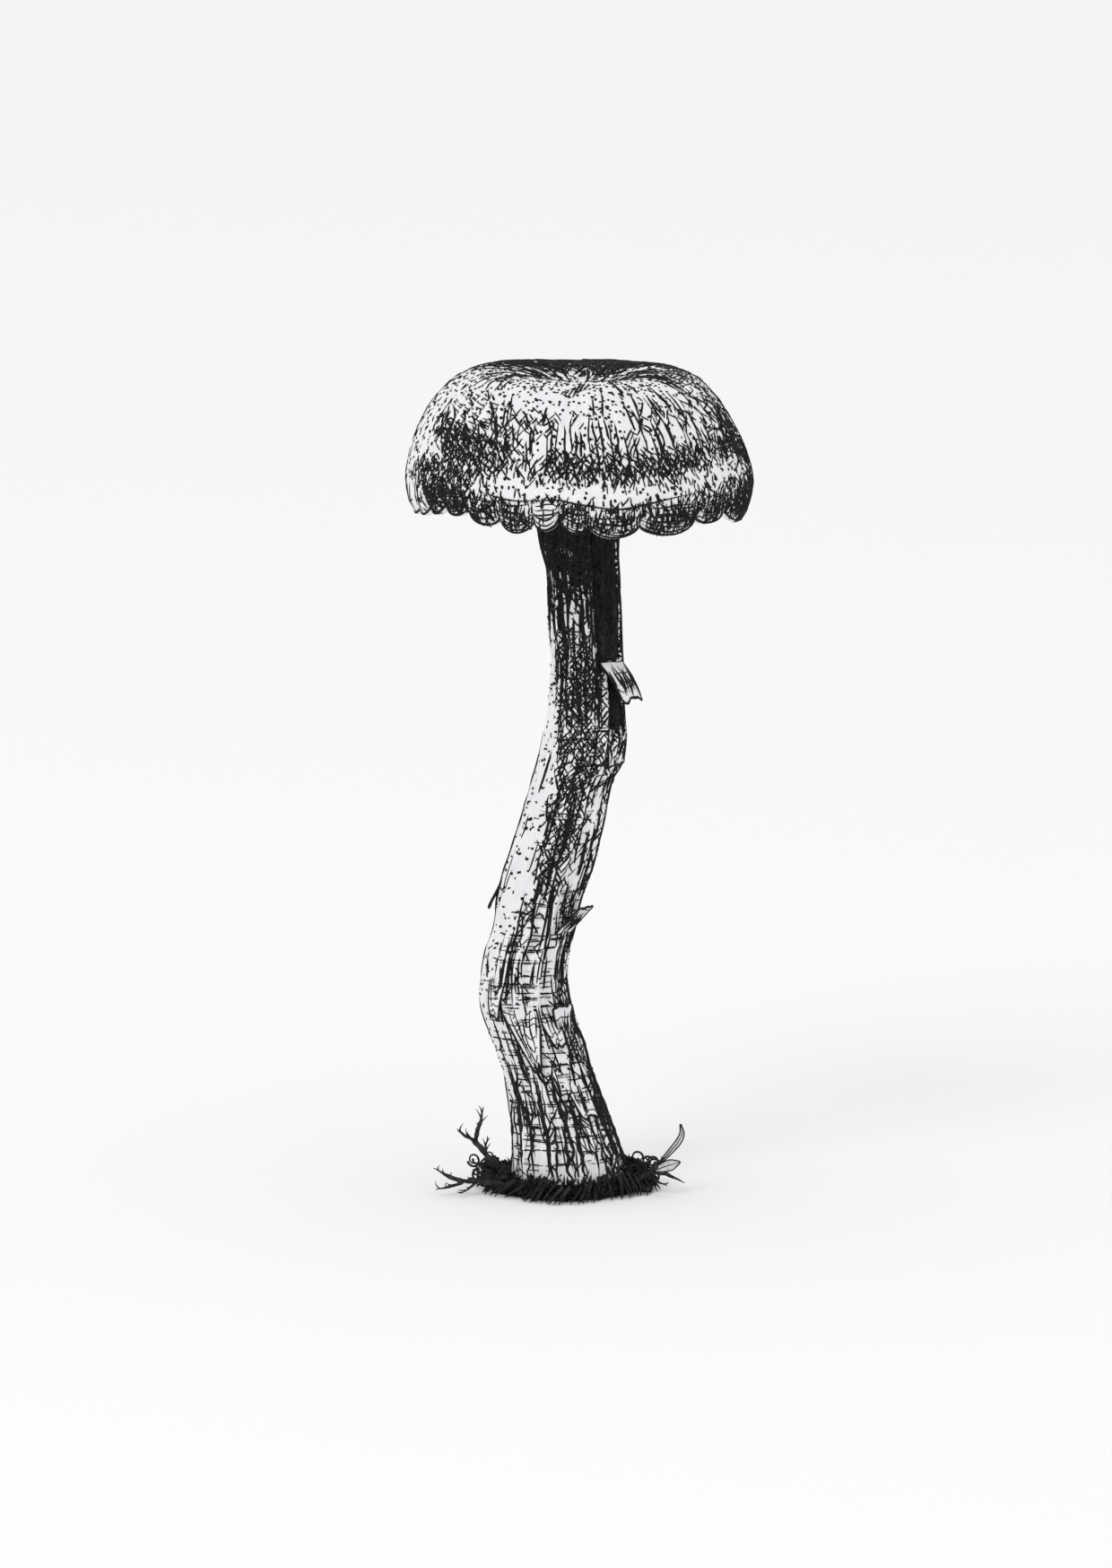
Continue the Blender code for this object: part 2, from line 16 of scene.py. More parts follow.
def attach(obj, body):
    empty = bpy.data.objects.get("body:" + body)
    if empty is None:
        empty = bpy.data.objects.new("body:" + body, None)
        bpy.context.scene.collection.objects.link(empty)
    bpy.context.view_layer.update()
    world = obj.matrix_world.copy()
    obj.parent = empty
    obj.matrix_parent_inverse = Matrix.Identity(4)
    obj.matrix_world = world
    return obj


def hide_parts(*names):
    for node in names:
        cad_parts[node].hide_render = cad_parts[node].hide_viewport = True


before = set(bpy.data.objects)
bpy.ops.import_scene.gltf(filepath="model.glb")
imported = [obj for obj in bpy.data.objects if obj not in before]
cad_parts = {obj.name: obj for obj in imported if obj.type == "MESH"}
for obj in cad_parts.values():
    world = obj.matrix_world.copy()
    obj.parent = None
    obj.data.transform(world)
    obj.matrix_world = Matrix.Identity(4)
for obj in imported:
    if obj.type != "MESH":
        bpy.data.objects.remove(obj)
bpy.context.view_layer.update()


# The view that the drawing was made from: a long lens ten degrees above the level, a plain pale
# floor and soft studio light. Nothing here belongs to the toadstool.
MM = 0.001
VIEW_RISE = math.radians(10)
VIEW_DISTANCE = 2.0
VIEW_MIDDLE = Vector((-2.6, 0.0, 45.8)) * MM
VIEW_TALL = 174.8 * MM
SENSOR_TALL = 36.0
FLOOR_HALF = 3.0
FLOOR_COLOUR = (0.93, 0.93, 0.93, 1.0)
FLOOR_ROUGHNESS = 0.9
SKY_WHITE = (1.0, 1.0, 1.0, 1.0)
SKY_STRENGTH = 0.92
KEY_PLACE = Vector((-0.75, -1.15, 1.35))
KEY_WATTS = 7.0
KEY_WIDE = 0.9


def in_scene(name, data):
    """A new object in the scene, at the origin."""
    made = bpy.data.objects.new(name, data)
    bpy.context.scene.collection.objects.link(made)
    return made


def finish(name, colour, roughness, shine=0.25):
    """A material with its shader's own colour, roughness and shine, and its node tree."""
    made = bpy.data.materials.new(name)
    made.use_nodes = True
    shader = made.node_tree.nodes["Principled BSDF"]
    shader.inputs["Base Color"].default_value = colour
    shader.inputs["Roughness"].default_value = roughness
    shader.inputs["Specular IOR Level"].default_value = shine
    return made, made.node_tree, shader


view = bpy.data.cameras.new("drawing_view")
view.sensor_width = SENSOR_TALL
view.lens = SENSOR_TALL * VIEW_DISTANCE / VIEW_TALL
camera = in_scene("drawing_view", view)
camera.location = VIEW_MIDDLE + VIEW_DISTANCE * Vector((0.0, -math.cos(VIEW_RISE), math.sin(VIEW_RISE)))
camera.rotation_euler = (math.radians(90) - VIEW_RISE, 0.0, 0.0)
bpy.context.scene.camera = camera

sheet = bmesh.new()
bmesh.ops.create_grid(sheet, x_segments=1, y_segments=1, size=FLOOR_HALF)
floor_mesh = bpy.data.meshes.new("floor")
sheet.to_mesh(floor_mesh)
sheet.free()
floor_mesh.materials.append(finish("floor_paper", FLOOR_COLOUR, FLOOR_ROUGHNESS)[0])
in_scene("floor", floor_mesh)

sky = bpy.data.worlds.new("studio")
sky.use_nodes = True
sky.node_tree.nodes["Background"].inputs["Color"].default_value = SKY_WHITE
sky.node_tree.nodes["Background"].inputs["Strength"].default_value = SKY_STRENGTH
bpy.context.scene.world = sky
bpy.context.scene.view_settings.view_transform = "Standard"
key = bpy.data.lights.new("key", "AREA")
key.energy = KEY_WATTS
key.shape = "DISK"
key.size = KEY_WIDE
key_lamp = in_scene("key", key)
key_lamp.location = KEY_PLACE
key_lamp.rotation_euler = (VIEW_MIDDLE - KEY_PLACE).to_track_quat("-Z", "Y").to_euler()


# Clod: the tuft of black humus that the foot stands in, lifted with the toadstool. A low ring round
# the foot, crumbly on top and flat beneath, and thick with short needles of moss.
CLOD_MIDDLE = np.array((-1.2, 0.0, 0.0)) * MM
CLOD_RADIUS = 8.55
CLOD_REACHES = ((-178, 24, 0.5), (-4, 22, 0.5), (-102, 26, 0.9), (52, 30, 0.7), (128, 26, 0.8))
# Small waves round the clod's edge: how many, and how far they reach.
CLOD_WAVES = (9, 0.15)
# Across the ring, from its hole over the top and down: (share of the way out, height in mm).
CLOD_SECTION = (
    (0.0, 0.1), (0.0, 0.7), (0.03, 1.1), (0.2, 1.35), (0.45, 1.4), (0.7, 1.25),
    (0.88, 0.95), (1.0, 0.55), (1.0, 0.3), (0.94, 0.02), (0.5, 0.0), (0.05, 0.02),
)  # fmt: skip
FRINGE = 1.0
CLOD_HOLE = 6.95
HOLE_MIDDLE = np.array((-0.9, 0.0, 0.0)) * MM
CLOD_COLUMNS = 220
CLOD_FINENESS = 5
# Lumps of humus and the crumbs on them, each (height, length). They lean outwards, and start
# between two heights, so that the underside stays flat.
CLUMPS = ((0.5, 2.6), (0.34, 0.8))
CLUMP_LEAN = 0.8
CLUMPS_START = (0.1, 0.8)
WELD = 0.0002 * MM
MOSS_BLACK = (0.016, 0.016, 0.017, 1.0)
# Roughness, shine, grain (fineness, detail, low, high), greys from dark to pale, and relief
# (strength, depth in metres).
MOSS_FINISH = (0.82, 0.1, (900.0, 4.0, 0.3, 0.75), (0.008, 0.04), (0.8, 0.3 * MM))
# A needle of moss from root to tip: (how far it bends over, how high it is, half thickness).
NEEDLE = ((0.0, 0.0, 0.13), (0.05, 0.35, 0.12), (0.17, 0.7, 0.08), (0.36, 1.0, 0.0))
NEEDLE_SIDES = (90, 210, 330)
# Needles to a square metre, their lengths, how much they sway together, and how upright they stand.
MOSS = {
    "Density": 15.0e6, "Shortest": 0.5 * MM, "Longest": 1.45 * MM, "Sweep": 3.2, "Rise": 0.25, "Seed": 3,
}  # fmt: skip
NEEDLE_LEAN = 0.45
LEAST_FACING_UP = -0.2
OFF_THE_FLOOR = 0.02 * MM
DRIFT_FINENESS = 330.0


def smooth(low, high, value):
    """0 below low, 1 above high, and an even rise between them."""
    share = np.clip((value - low) / (high - low), 0.0, 1.0)
    return share * share * (3 - 2 * share)


def turn_from(middle, angle):
    """How far angles are turned from a middle one, from -180 to 180 degrees."""
    return (angle - middle + 180) % 360 - 180


def spread_sum(bumps, angle):
    """What (angle, spread, amount) bumps add up to in each direction, all in degrees and mm."""
    total = 0.0 * angle
    for middle, spread, amount in bumps:
        total = total + amount * np.exp(-((turn_from(middle, angle) / spread) ** 2))
    return total


def eased(t, start, start_slope, end, end_slope):
    """Places at shares t of a smooth run from start to end that leaves and arrives with the slopes."""
    return (
        (2 * t**3 - 3 * t**2 + 1) * start
        + (t**3 - 2 * t**2 + t) * start_slope
        + (3 * t**2 - 2 * t**3) * end
        + (t**3 - t**2) * end_slope
    )


def through(points, steps):
    """A smooth curve through the points, with that many steps from each to the next."""
    points = np.asarray(points, float)
    before = np.vstack([points[:1], points[:-1]])
    after = np.vstack([points[1:], points[-1:]])
    slope = (after - before) / 2
    slope[[0, -1]] *= 2
    t = np.linspace(0, 1, steps, endpoint=False)[None, :, None]
    run = eased(t, points[:-1, None], slope[:-1, None], points[1:, None], slope[1:, None])
    return np.vstack([run.reshape(-1, points.shape[1]), points[-1:]])


def uneven(points, length):
    """Uneven values from about -1 to 1 that change over that length, for an array of places."""
    flat = np.asarray(points).reshape(-1, 3) / length
    values = [noise.noise(Vector(place)) for place in flat]
    return np.reshape(values, np.shape(points)[:-1])


def directions(degrees):
    """Level directions for an array of angles."""
    angle = np.radians(degrees)
    return np.stack([np.cos(angle), np.sin(angle), np.zeros_like(angle)], axis=-1)


def upright(height):
    """Points straight above the origin, for an array of heights."""
    return np.stack([0 * height, 0 * height, height], axis=-1)


def closed_skin(name, points, around, along, values=None, ring=False):
    """A closed mesh from rows of points round an axis, with its map "skin" and its named values.

    around has one place more than a row has points. With ring set the last row meets the first;
    otherwise each end row is one point. values are arrays of one number for each point.
    """
    rows, columns = points.shape[:2]
    index = np.arange(rows * columns).reshape(rows, columns)
    beyond = np.roll(index, -1, axis=1)
    lower, upper = index, np.roll(index, -1, axis=0)
    far_lower, far_upper = beyond, np.roll(beyond, -1, axis=0)
    bands = rows if ring else rows - 1
    faces = np.stack([lower, far_lower, far_upper, upper], axis=-1)[:bands]
    mesh = bpy.data.meshes.new(name)
    mesh.from_pydata(points.reshape(-1, 3).tolist(), [], faces.reshape(-1, 4).tolist())
    corners = np.empty((bands, columns, 4, 2))
    corners[..., (0, 3), 0] = around[:-1, None]
    corners[..., (1, 2), 0] = around[1:, None]
    corners[..., (0, 1), 1] = along[:bands, None, None]
    corners[..., (2, 3), 1] = along[1 : bands + 1, None, None]
    mesh.uv_layers.new(name="skin").data.foreach_set("uv", corners.ravel())
    for key, value in (values or {}).items():
        store = mesh.attributes.new(key, "FLOAT", "POINT")
        store.data.foreach_set("value", np.ascontiguousarray(value, np.float32).ravel())
    work = bmesh.new()
    work.from_mesh(mesh)
    bmesh.ops.remove_doubles(work, verts=work.verts, dist=WELD)
    bmesh.ops.dissolve_degenerate(work, edges=work.edges, dist=WELD)
    bmesh.ops.recalc_face_normals(work, faces=work.faces)
    work.to_mesh(mesh)
    work.free()
    mesh.shade_smooth()
    return mesh


def new_tree(name, sockets):
    """A Geometry Nodes tree with named inputs, and the outputs of the node that gives them."""
    tree = bpy.data.node_groups.new(name, "GeometryNodeTree")
    for label, kind in sockets.items():
        tree.interface.new_socket(name=label, in_out="INPUT", socket_type="NodeSocket" + kind)
    tree.interface.new_socket(name="Geometry", in_out="OUTPUT", socket_type="NodeSocketGeometry")
    return tree, tree.nodes.new("NodeGroupInput").outputs


def node(tree, kind, inputs=None, **settings):
    """A node with its settings and its inputs, each a link or a plain value; gives its outputs."""
    made = tree.nodes.new(kind)
    for key, value in settings.items():
        setattr(made, key, value)
    by_identifier = {socket.identifier: socket for socket in made.inputs}
    for key, value in (inputs or {}).items():
        socket = by_identifier.get(key) or made.inputs[key]
        if isinstance(value, bpy.types.NodeSocket):
            tree.links.new(value, socket)
        else:
            socket.default_value = value
    return made.outputs


def calc(tree, operation, *values):
    """One Math node."""
    inputs = dict(zip(("Value", "Value_001", "Value_002"), values))
    return node(tree, "ShaderNodeMath", inputs, operation=operation)[0]


def vector_calc(tree, operation, first, second):
    """One Vector Math node."""
    inputs = {"Vector": first, "Vector_001": second}
    return node(tree, "ShaderNodeVectorMath", inputs, operation=operation)["Vector"]


def scaled(tree, vector, amount):
    """A vector times a number."""
    return node(tree, "ShaderNodeVectorMath", {"Vector": vector, "Scale": amount}, operation="SCALE")[0]


def vector_of(tree, x, y, z):
    """A vector from its three parts."""
    return node(tree, "ShaderNodeCombineXYZ", {"X": x, "Y": y, "Z": z})[0]


def parts_of(tree, vector):
    """The three parts of a vector."""
    made = node(tree, "ShaderNodeSeparateXYZ", {"Vector": vector})
    return made["X"], made["Y"], made["Z"]


def about_up(tree, angle):
    """A turn by that angle about the upright axis."""
    return node(tree, "FunctionNodeEulerToRotation", {"Euler": vector_of(tree, 0.0, 0.0, angle)})[0]


def noise_of(tree, place, fineness, detail, output="Fac"):
    """Fine noise at a place: a number from 0 to 1, or one for each axis."""
    return node(tree, "ShaderNodeTexNoise", {"Vector": place, "Scale": fineness, "Detail": detail})[output]


def drift_of(tree, amount):
    """A slow wander, much the same for what stands close together."""
    cloud = noise_of(tree, node(tree, "GeometryNodeInputPosition")[0], DRIFT_FINENESS, 1.0, "Color")
    return scaled(tree, vector_calc(tree, "SUBTRACT", cloud, (0.5, 0.5, 0.5)), amount)


def drawn_number(tree, low, high, seed, place):
    """A random number for each element; place keeps the draws of one tree apart."""
    inputs = {"Min_001": low, "Max_001": high, "Seed": calc(tree, "ADD", seed, place)}
    made = node(tree, "FunctionNodeRandomValue", inputs, data_type="FLOAT")
    return next(socket for socket in made if socket.identifier == "Value_001")


def finish_tree(tree, geometry, material):
    """Ends a tree: real geometry in its material."""
    real = node(tree, "GeometryNodeSetMaterial", {"Geometry": geometry, "Material": material})[0]
    tree.links.new(real, tree.nodes.new("NodeGroupOutput").inputs[0])
    return tree


def grown(name, tree, inputs, start=None):
    """Runs a tree and keeps what it makes as a plain mesh object."""
    piece = in_scene(name, start or bpy.data.meshes.new(name))
    work = piece.modifiers.new(name, "NODES")
    work.node_group = tree
    for item in tree.interface.items_tree:
        if item.in_out == "INPUT" and item.name in inputs:
            work[item.identifier] = inputs[item.name]
    graph = bpy.context.evaluated_depsgraph_get()
    made = bpy.data.meshes.new_from_object(piece.evaluated_get(graph))
    piece.modifiers.remove(work)
    piece.data = made
    for stored in [a.name for a in made.attributes if a.name.startswith("fibril_")]:
        made.attributes.remove(made.attributes[stored])
    return piece


def belongs(piece, stands_for):
    """Marks a finished piece: it rides on the only body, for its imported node."""
    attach(piece, "root")
    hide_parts(stands_for)


def dressed(mesh, material, stands_for):
    """A finished piece from a mesh, in its material."""
    piece = in_scene(mesh.name, mesh)
    piece.data.materials.append(material)
    belongs(piece, stands_for)
    return piece


def ranged(tree, value, spread, results=(0.0, 1.0)):
    """A value that runs over the spread, carried over to the results."""
    inputs = dict(zip(("From Min", "From Max", "To Min", "To Max"), (*spread, *results)))
    return node(tree, "ShaderNodeMapRange", inputs | {"Value": value})[0]


def grain_of(tree, fineness, detail):
    """A fine grain that stays fixed to its piece."""
    return noise_of(tree, node(tree, "ShaderNodeTexCoord")["Object"], fineness, detail)


def paint_grey(tree, shader, value, spread, greys):
    """Colours a shader from the first grey to the second as the value runs over the spread."""
    shade = ranged(tree, value, spread, greys)
    grey = node(tree, "ShaderNodeCombineColor", {"Red": shade, "Green": shade, "Blue": shade})[0]
    tree.links.new(grey, shader.inputs["Base Color"])


def roughen(tree, shader, height, strength, depth):
    """Gives a shader bumps of that strength and depth, in metres."""
    bump = node(tree, "ShaderNodeBump", {"Height": height, "Strength": strength, "Distance": depth})[0]
    tree.links.new(bump, shader.inputs["Normal"])


def grained(name, colour, roughness, shine, grain, greys, relief=None):
    """A dull finish, mottled by its grain, which also roughens it where a relief is given."""
    made, tree, shader = finish(name, colour, roughness, shine)
    fineness, detail, *spread = grain
    value = grain_of(tree, fineness, detail)
    paint_grey(tree, shader, value, spread, greys)
    if relief:
        roughen(tree, shader, value, *relief)
    return made


def clod_edge(degrees):
    """How far the clod reaches from its middle in each direction, in mm."""
    waves, amount = CLOD_WAVES
    return CLOD_RADIUS + spread_sum(CLOD_REACHES, degrees) + amount * np.sin(np.radians(waves * degrees))


def clod_surface(degrees, share, height):
    """Places on the clod: share of the way out from its hole, and height in mm."""
    inner = HOLE_MIDDLE + directions(degrees) * CLOD_HOLE * MM
    outer = CLOD_MIDDLE + directions(degrees) * ((clod_edge(degrees) - FRINGE) * MM)[..., None]
    place = inner + (outer - inner) * share[..., None]
    place[..., 2] = height * MM
    lump = sum(tall * uneven(place, long * MM) for tall, long in CLUMPS)
    lump = lump * smooth(*CLUMPS_START, height) * MM
    return place + (directions(degrees) * CLUMP_LEAN + (0, 0, 1)) * lump[..., None]


turns = np.linspace(0, 1, CLOD_COLUMNS + 1)
section = through((*CLOD_SECTION, CLOD_SECTION[0]), CLOD_FINENESS)[:-1]
clod_angle, clod_share = np.meshgrid(turns[:-1] * 360, section[:, 0])
clod_height = np.broadcast_to(section[:, 1:], clod_angle.shape)
clod_points = clod_surface(clod_angle, clod_share, np.maximum(clod_height, 0.0))
clod_points[..., 2] = np.maximum(clod_points[..., 2], 0.0)
moss_black = grained("moss_black", MOSS_BLACK, *MOSS_FINISH)
clod_mesh = closed_skin("clod_humus", clod_points, turns, np.linspace(0, 1, len(section) + 1), ring=True)
clod = dressed(clod_mesh, moss_black, "moss_clod")

needle_bend, needle_rise, needle_half = np.transpose(NEEDLE)[..., None]
sides = np.radians(NEEDLE_SIDES)
needle_x = needle_bend + needle_half * np.cos(sides)
needle_points = np.stack([needle_x, needle_half * np.sin(sides), needle_rise + 0 * sides], axis=-1)
needle_points[0] = needle_points[0].mean(axis=0)
needle_turns = np.linspace(0, 1, len(sides) + 1)
needle = in_scene("needle", closed_skin("needle", needle_points, needle_turns, needle_rise[:, 0]))

MOSS_INPUTS = {
    "Ground": "Object", "Needle": "Object", "Density": "Float", "Shortest": "Float", "Longest": "Float",
    "Sweep": "Float", "Rise": "Float", "Seed": "Int", "Finish": "Material",
}  # fmt: skip


def moss_tree():
    """Needles strewn on the ground, each leaning its own way, none reaching below the floor."""
    tree, given = new_tree("grow_moss", MOSS_INPUTS)
    ground = node(tree, "GeometryNodeObjectInfo", {"Object": given["Ground"]})["Geometry"]
    shape = node(tree, "GeometryNodeObjectInfo", {"Object": given["Needle"]})["Geometry"]
    facing_up = parts_of(tree, node(tree, "GeometryNodeInputNormal")["Normal"])[2]
    open_side = calc(tree, "GREATER_THAN", facing_up, LEAST_FACING_UP)
    inputs = {"Mesh": ground, "Selection": open_side, "Density": given["Density"], "Seed": given["Seed"]}
    strewn = node(tree, "GeometryNodeDistributePointsOnFaces", inputs)
    own = [drawn_number(tree, -NEEDLE_LEAN, NEEDLE_LEAN, given["Seed"], 11 + axis) for axis in range(3)]
    lean = vector_calc(tree, "ADD", drift_of(tree, given["Sweep"]), vector_of(tree, *own))
    lean = vector_calc(tree, "ADD", lean, strewn["Normal"])
    lean = vector_calc(tree, "ADD", lean, vector_of(tree, 0.0, 0.0, given["Rise"]))
    turn = node(tree, "FunctionNodeAlignRotationToVector", {"Vector": lean}, axis="Z")[0]
    spin = about_up(tree, drawn_number(tree, 0.0, math.tau, given["Seed"], 5))
    inputs = {"Rotation": turn, "Rotate By": spin}
    turn = node(tree, "FunctionNodeRotateRotation", inputs, rotation_space="LOCAL")[0]
    size = drawn_number(tree, given["Shortest"], given["Longest"], given["Seed"], 7)
    size = vector_of(tree, size, size, size)
    inputs = {"Points": strewn["Points"], "Instance": shape, "Rotation": turn, "Scale": size}
    needles = node(tree, "GeometryNodeInstanceOnPoints", inputs)[0]
    real = node(tree, "GeometryNodeRealizeInstances", {"Geometry": needles})[0]
    x, y, z = parts_of(tree, node(tree, "GeometryNodeInputPosition")[0])
    above = vector_of(tree, x, y, calc(tree, "MAXIMUM", z, OFF_THE_FLOOR))
    real = node(tree, "GeometryNodeSetPosition", {"Geometry": real, "Position": above})[0]
    return finish_tree(tree, real, given["Finish"])


moss = grown("moss_needles", moss_tree(), MOSS | {"Ground": clod, "Needle": needle, "Finish": moss_black})
belongs(moss, "moss_clod")
bpy.data.objects.remove(needle)


# Rootlets: black woody root ends that lie and rise round the clod, and the sprig on its right. Each
# is one branching strand, thickest where it leaves the moss; the sprig's two leaves are thin, with
# a pale face, a dark rim and a dark middle vein. Chains are (x, y, z, radius) in mm.
TALL_ROOTLET = (
    ((-8.0, -1.4, 1.4, 0.42), (-9.4, -1.9, 3.1, 0.44), (-10.6, -2.2, 4.4, 0.46), (-11.7, -2.3, 5.8, 0.4)),
    (
        (-11.6, -2.3, 5.6, 0.36), (-11.35, -2.4, 6.8, 0.33), (-10.95, -2.6, 8.1, 0.24),
        (-10.7, -2.7, 9.7, 0.05),
    ),
    ((-11.6, -2.3, 5.7, 0.34), (-12.5, -2.4, 6.2, 0.28), (-13.7, -2.5, 7.1, 0.05)),
    ((-10.3, -2.1, 4.2, 0.22), (-10.5, -2.5, 5.2, 0.16), (-10.2, -2.9, 6.1, 0.04)),
)
LOW_ROOTLET = (
    ((-7.8, -4.2, 1.0, 0.4), (-10.2, -4.6, 1.35, 0.4), (-12.0, -4.6, 1.55, 0.38), (-13.3, -4.5, 1.6, 0.36)),
    ((-13.1, -4.5, 1.6, 0.34), (-14.5, -4.3, 2.05, 0.28), (-16.3, -4.2, 3.0, 0.05)),
    ((-12.9, -4.6, 1.6, 0.32), (-14.3, -5.0, 1.1, 0.26), (-16.0, -5.2, 0.7, 0.05)),
    ((-11.4, -4.6, 1.5, 0.24), (-12.2, -5.2, 0.9, 0.16), (-13.3, -5.7, 0.4, 0.04)),
)
SPRIG_STALK = (
    ((6.4, -2.6, 1.2, 0.42), (7.6, -3.3, 2.1, 0.42), (8.5, -3.7, 3.0, 0.36), (9.5, -4.0, 4.2, 0.2)),
    ((8.0, -3.5, 2.5, 0.34), (9.4, -4.0, 2.3, 0.3), (10.5, -4.3, 2.0, 0.22), (11.7, -4.5, 1.35, 0.05)),
    ((7.4, -3.1, 2.0, 0.26), (8.4, -3.5, 1.5, 0.22), (9.8, -4.2, 0.9, 0.05)),
)
# Middle line of each leaf: (x, y, z, half width).
SPRIG_BLADE = (
    (9.0, -3.85, 3.5, 0.15), (10.1, -4.1, 4.8, 0.27), (11.0, -4.2, 5.9, 0.32),
    (11.45, -4.2, 6.9, 0.25), (11.3, -4.2, 8.0, 0.05),
)  # fmt: skip
SPRIG_LEAF = (
    (8.3, -3.6, 2.6, 0.15), (9.3, -4.1, 3.05, 0.5), (10.3, -4.4, 3.45, 0.58), (11.3, -4.5, 3.75, 0.05),
)  # fmt: skip
LEAF_THICK = 0.14 * MM
LEAF_FOLD = 0.3
LEAF_STEPS = 6
LEAF_SIDES = 12
LEAF_RIM = 0.085 * MM
LEAF_VEIN = (0.08, 0.03)
ROOTLET_STEPS = 7
ROOTLET_SIDES = 9
BARK_SHARE = 0.76
# Crooks and knots along a rootlet: (amount, length); the crooks of the three axes lie apart.
CROOK = (0.13, 1.1)
CROOKS_APART = 7
KNOTS = (0.4, 0.5)
# Side hairs: one at every third step, how long they are, how they lean onward and sag, and their
# half thickness from root to tip.
HAIR_EVERY = 3
HAIR_WAYS = ((-1, 1), (-0.6, 0.6), (0.1, 1))
HAIR_LONG = (0.35, 1.0)
HAIR_ONWARD = 0.5
HAIR_SAG = 0.6
HAIR_THICK = (0.11, 0.02)
HAIR_POINTS = 5
BARK_BLACK = (0.02, 0.02, 0.021, 1.0)
BARK_FINISH = (0.7, 0.12, (1500.0, 3.0, 0.3, 0.8), (0.008, 0.06), (0.7, 0.2 * MM))
LEAF_PALE = (0.72, 0.73, 0.74, 1.0)
LEAF_FINISH = (0.55, 0.25, (2600.0, 3.0, 0.35, 0.7), (0.5, 0.78))


def strand_tree():
    """Round strands along the edges of a mesh, as thick as its value "thick" says, ends closed."""
    tree, given = new_tree("draw_strands", {"Geometry": "Geometry", "Sides": "Int", "Finish": "Material"})
    line = node(tree, "GeometryNodeMeshToCurve", {"Mesh": given["Geometry"]})[0]
    thick = node(tree, "GeometryNodeInputNamedAttribute", {"Name": "thick"}, data_type="FLOAT")[0]
    ring = node(tree, "GeometryNodeCurvePrimitiveCircle", {"Resolution": given["Sides"], "Radius": 1.0})[0]
    inputs = {"Curve": line, "Profile Curve": ring, "Scale": thick, "Fill Caps": True}
    return finish_tree(tree, node(tree, "GeometryNodeCurveToMesh", inputs)[0], given["Finish"])


STRANDS = strand_tree()


def strands(name, lines, material, sides=6):
    """One object of round strands; lines holds (points, radii), in metres."""
    points, edges, radii = [], [], []
    for line, radius in lines:
        first = len(points)
        points += np.asarray(line).tolist()
        radii += np.broadcast_to(radius, len(line)).tolist()
        edges += [(first + i, first + i + 1) for i in range(len(line) - 1)]
    mesh = bpy.data.meshes.new(name)
    mesh.from_pydata(points, edges, [])
    mesh.attributes.new("thick", "FLOAT", "POINT").data.foreach_set("value", radii)
    piece = grown(name, STRANDS, {"Sides": sides, "Finish": material}, mesh)
    piece.data.shade_smooth()
    return piece


def rootlet_lines(chains):
    """The chains as smooth, slightly crooked lines with knots and side hairs along them."""
    lines = []
    crook_amount, crook_length = CROOK
    knot_amount, knot_length = KNOTS
    for chain in chains:
        run = through(chain, ROOTLET_STEPS) * MM
        places = [run[:, :3] + CROOKS_APART * MM * axis for axis in range(3)]
        crook = np.stack([uneven(place, crook_length * MM) for place in places], axis=-1)
        line = run[:, :3] + crook * (crook_amount * MM)
        knots = 1 + knot_amount * uneven(run[:, :3], knot_length * MM)
        lines.append((line, BARK_SHARE * run[:, 3] * knots))
        chance = random.Random(round(chain[0][0] * 100))
        for spot in range(HAIR_EVERY, len(line) - 2, HAIR_EVERY):
            away = Vector([chance.uniform(*limits) for limits in HAIR_WAYS]).normalized()
            onward = Vector(line[spot + 1] - line[spot - 1]).normalized()
            tip = away * chance.uniform(*HAIR_LONG) * MM + onward * HAIR_ONWARD * MM
            share = np.linspace(0, 1, HAIR_POINTS)[:, None]
            sag = share * (1 - share) * np.array(onward) * HAIR_SAG * MM
            hair = line[spot] + share * np.array(tip) + sag
            lines.append((hair, np.linspace(*HAIR_THICK, HAIR_POINTS) * MM))
    return lines


def leaf_frame(line):
    """A leaf's smooth middle line, its half widths and the direction across it."""
    run = through(line, LEAF_STEPS) * MM
    along = np.gradient(run[:, :3], axis=0)
    across = np.cross((0.0, 1.0, 0.0), along)
    return run[:, :3], run[:, 3:], across / np.linalg.norm(across, axis=1)[:, None]


def leaf_skin(name, line):
    """A thin leaf, folded a little along its middle vein."""
    middle, half, across = leaf_frame(line)
    turn = np.radians(np.arange(0, 360, 360 / LEAF_SIDES))
    side, face = np.cos(turn), np.sin(turn)
    points = middle[:, None] + across[:, None] * (half * side)[..., None]
    points[..., 1] -= LEAF_FOLD * half * side**2 + LEAF_THICK / 2 * face
    points[[0, -1]] = points[[0, -1]].mean(axis=1)[:, None]
    return closed_skin(name, points, np.linspace(0, 1, LEAF_SIDES + 1), np.linspace(0, 1, len(middle)))


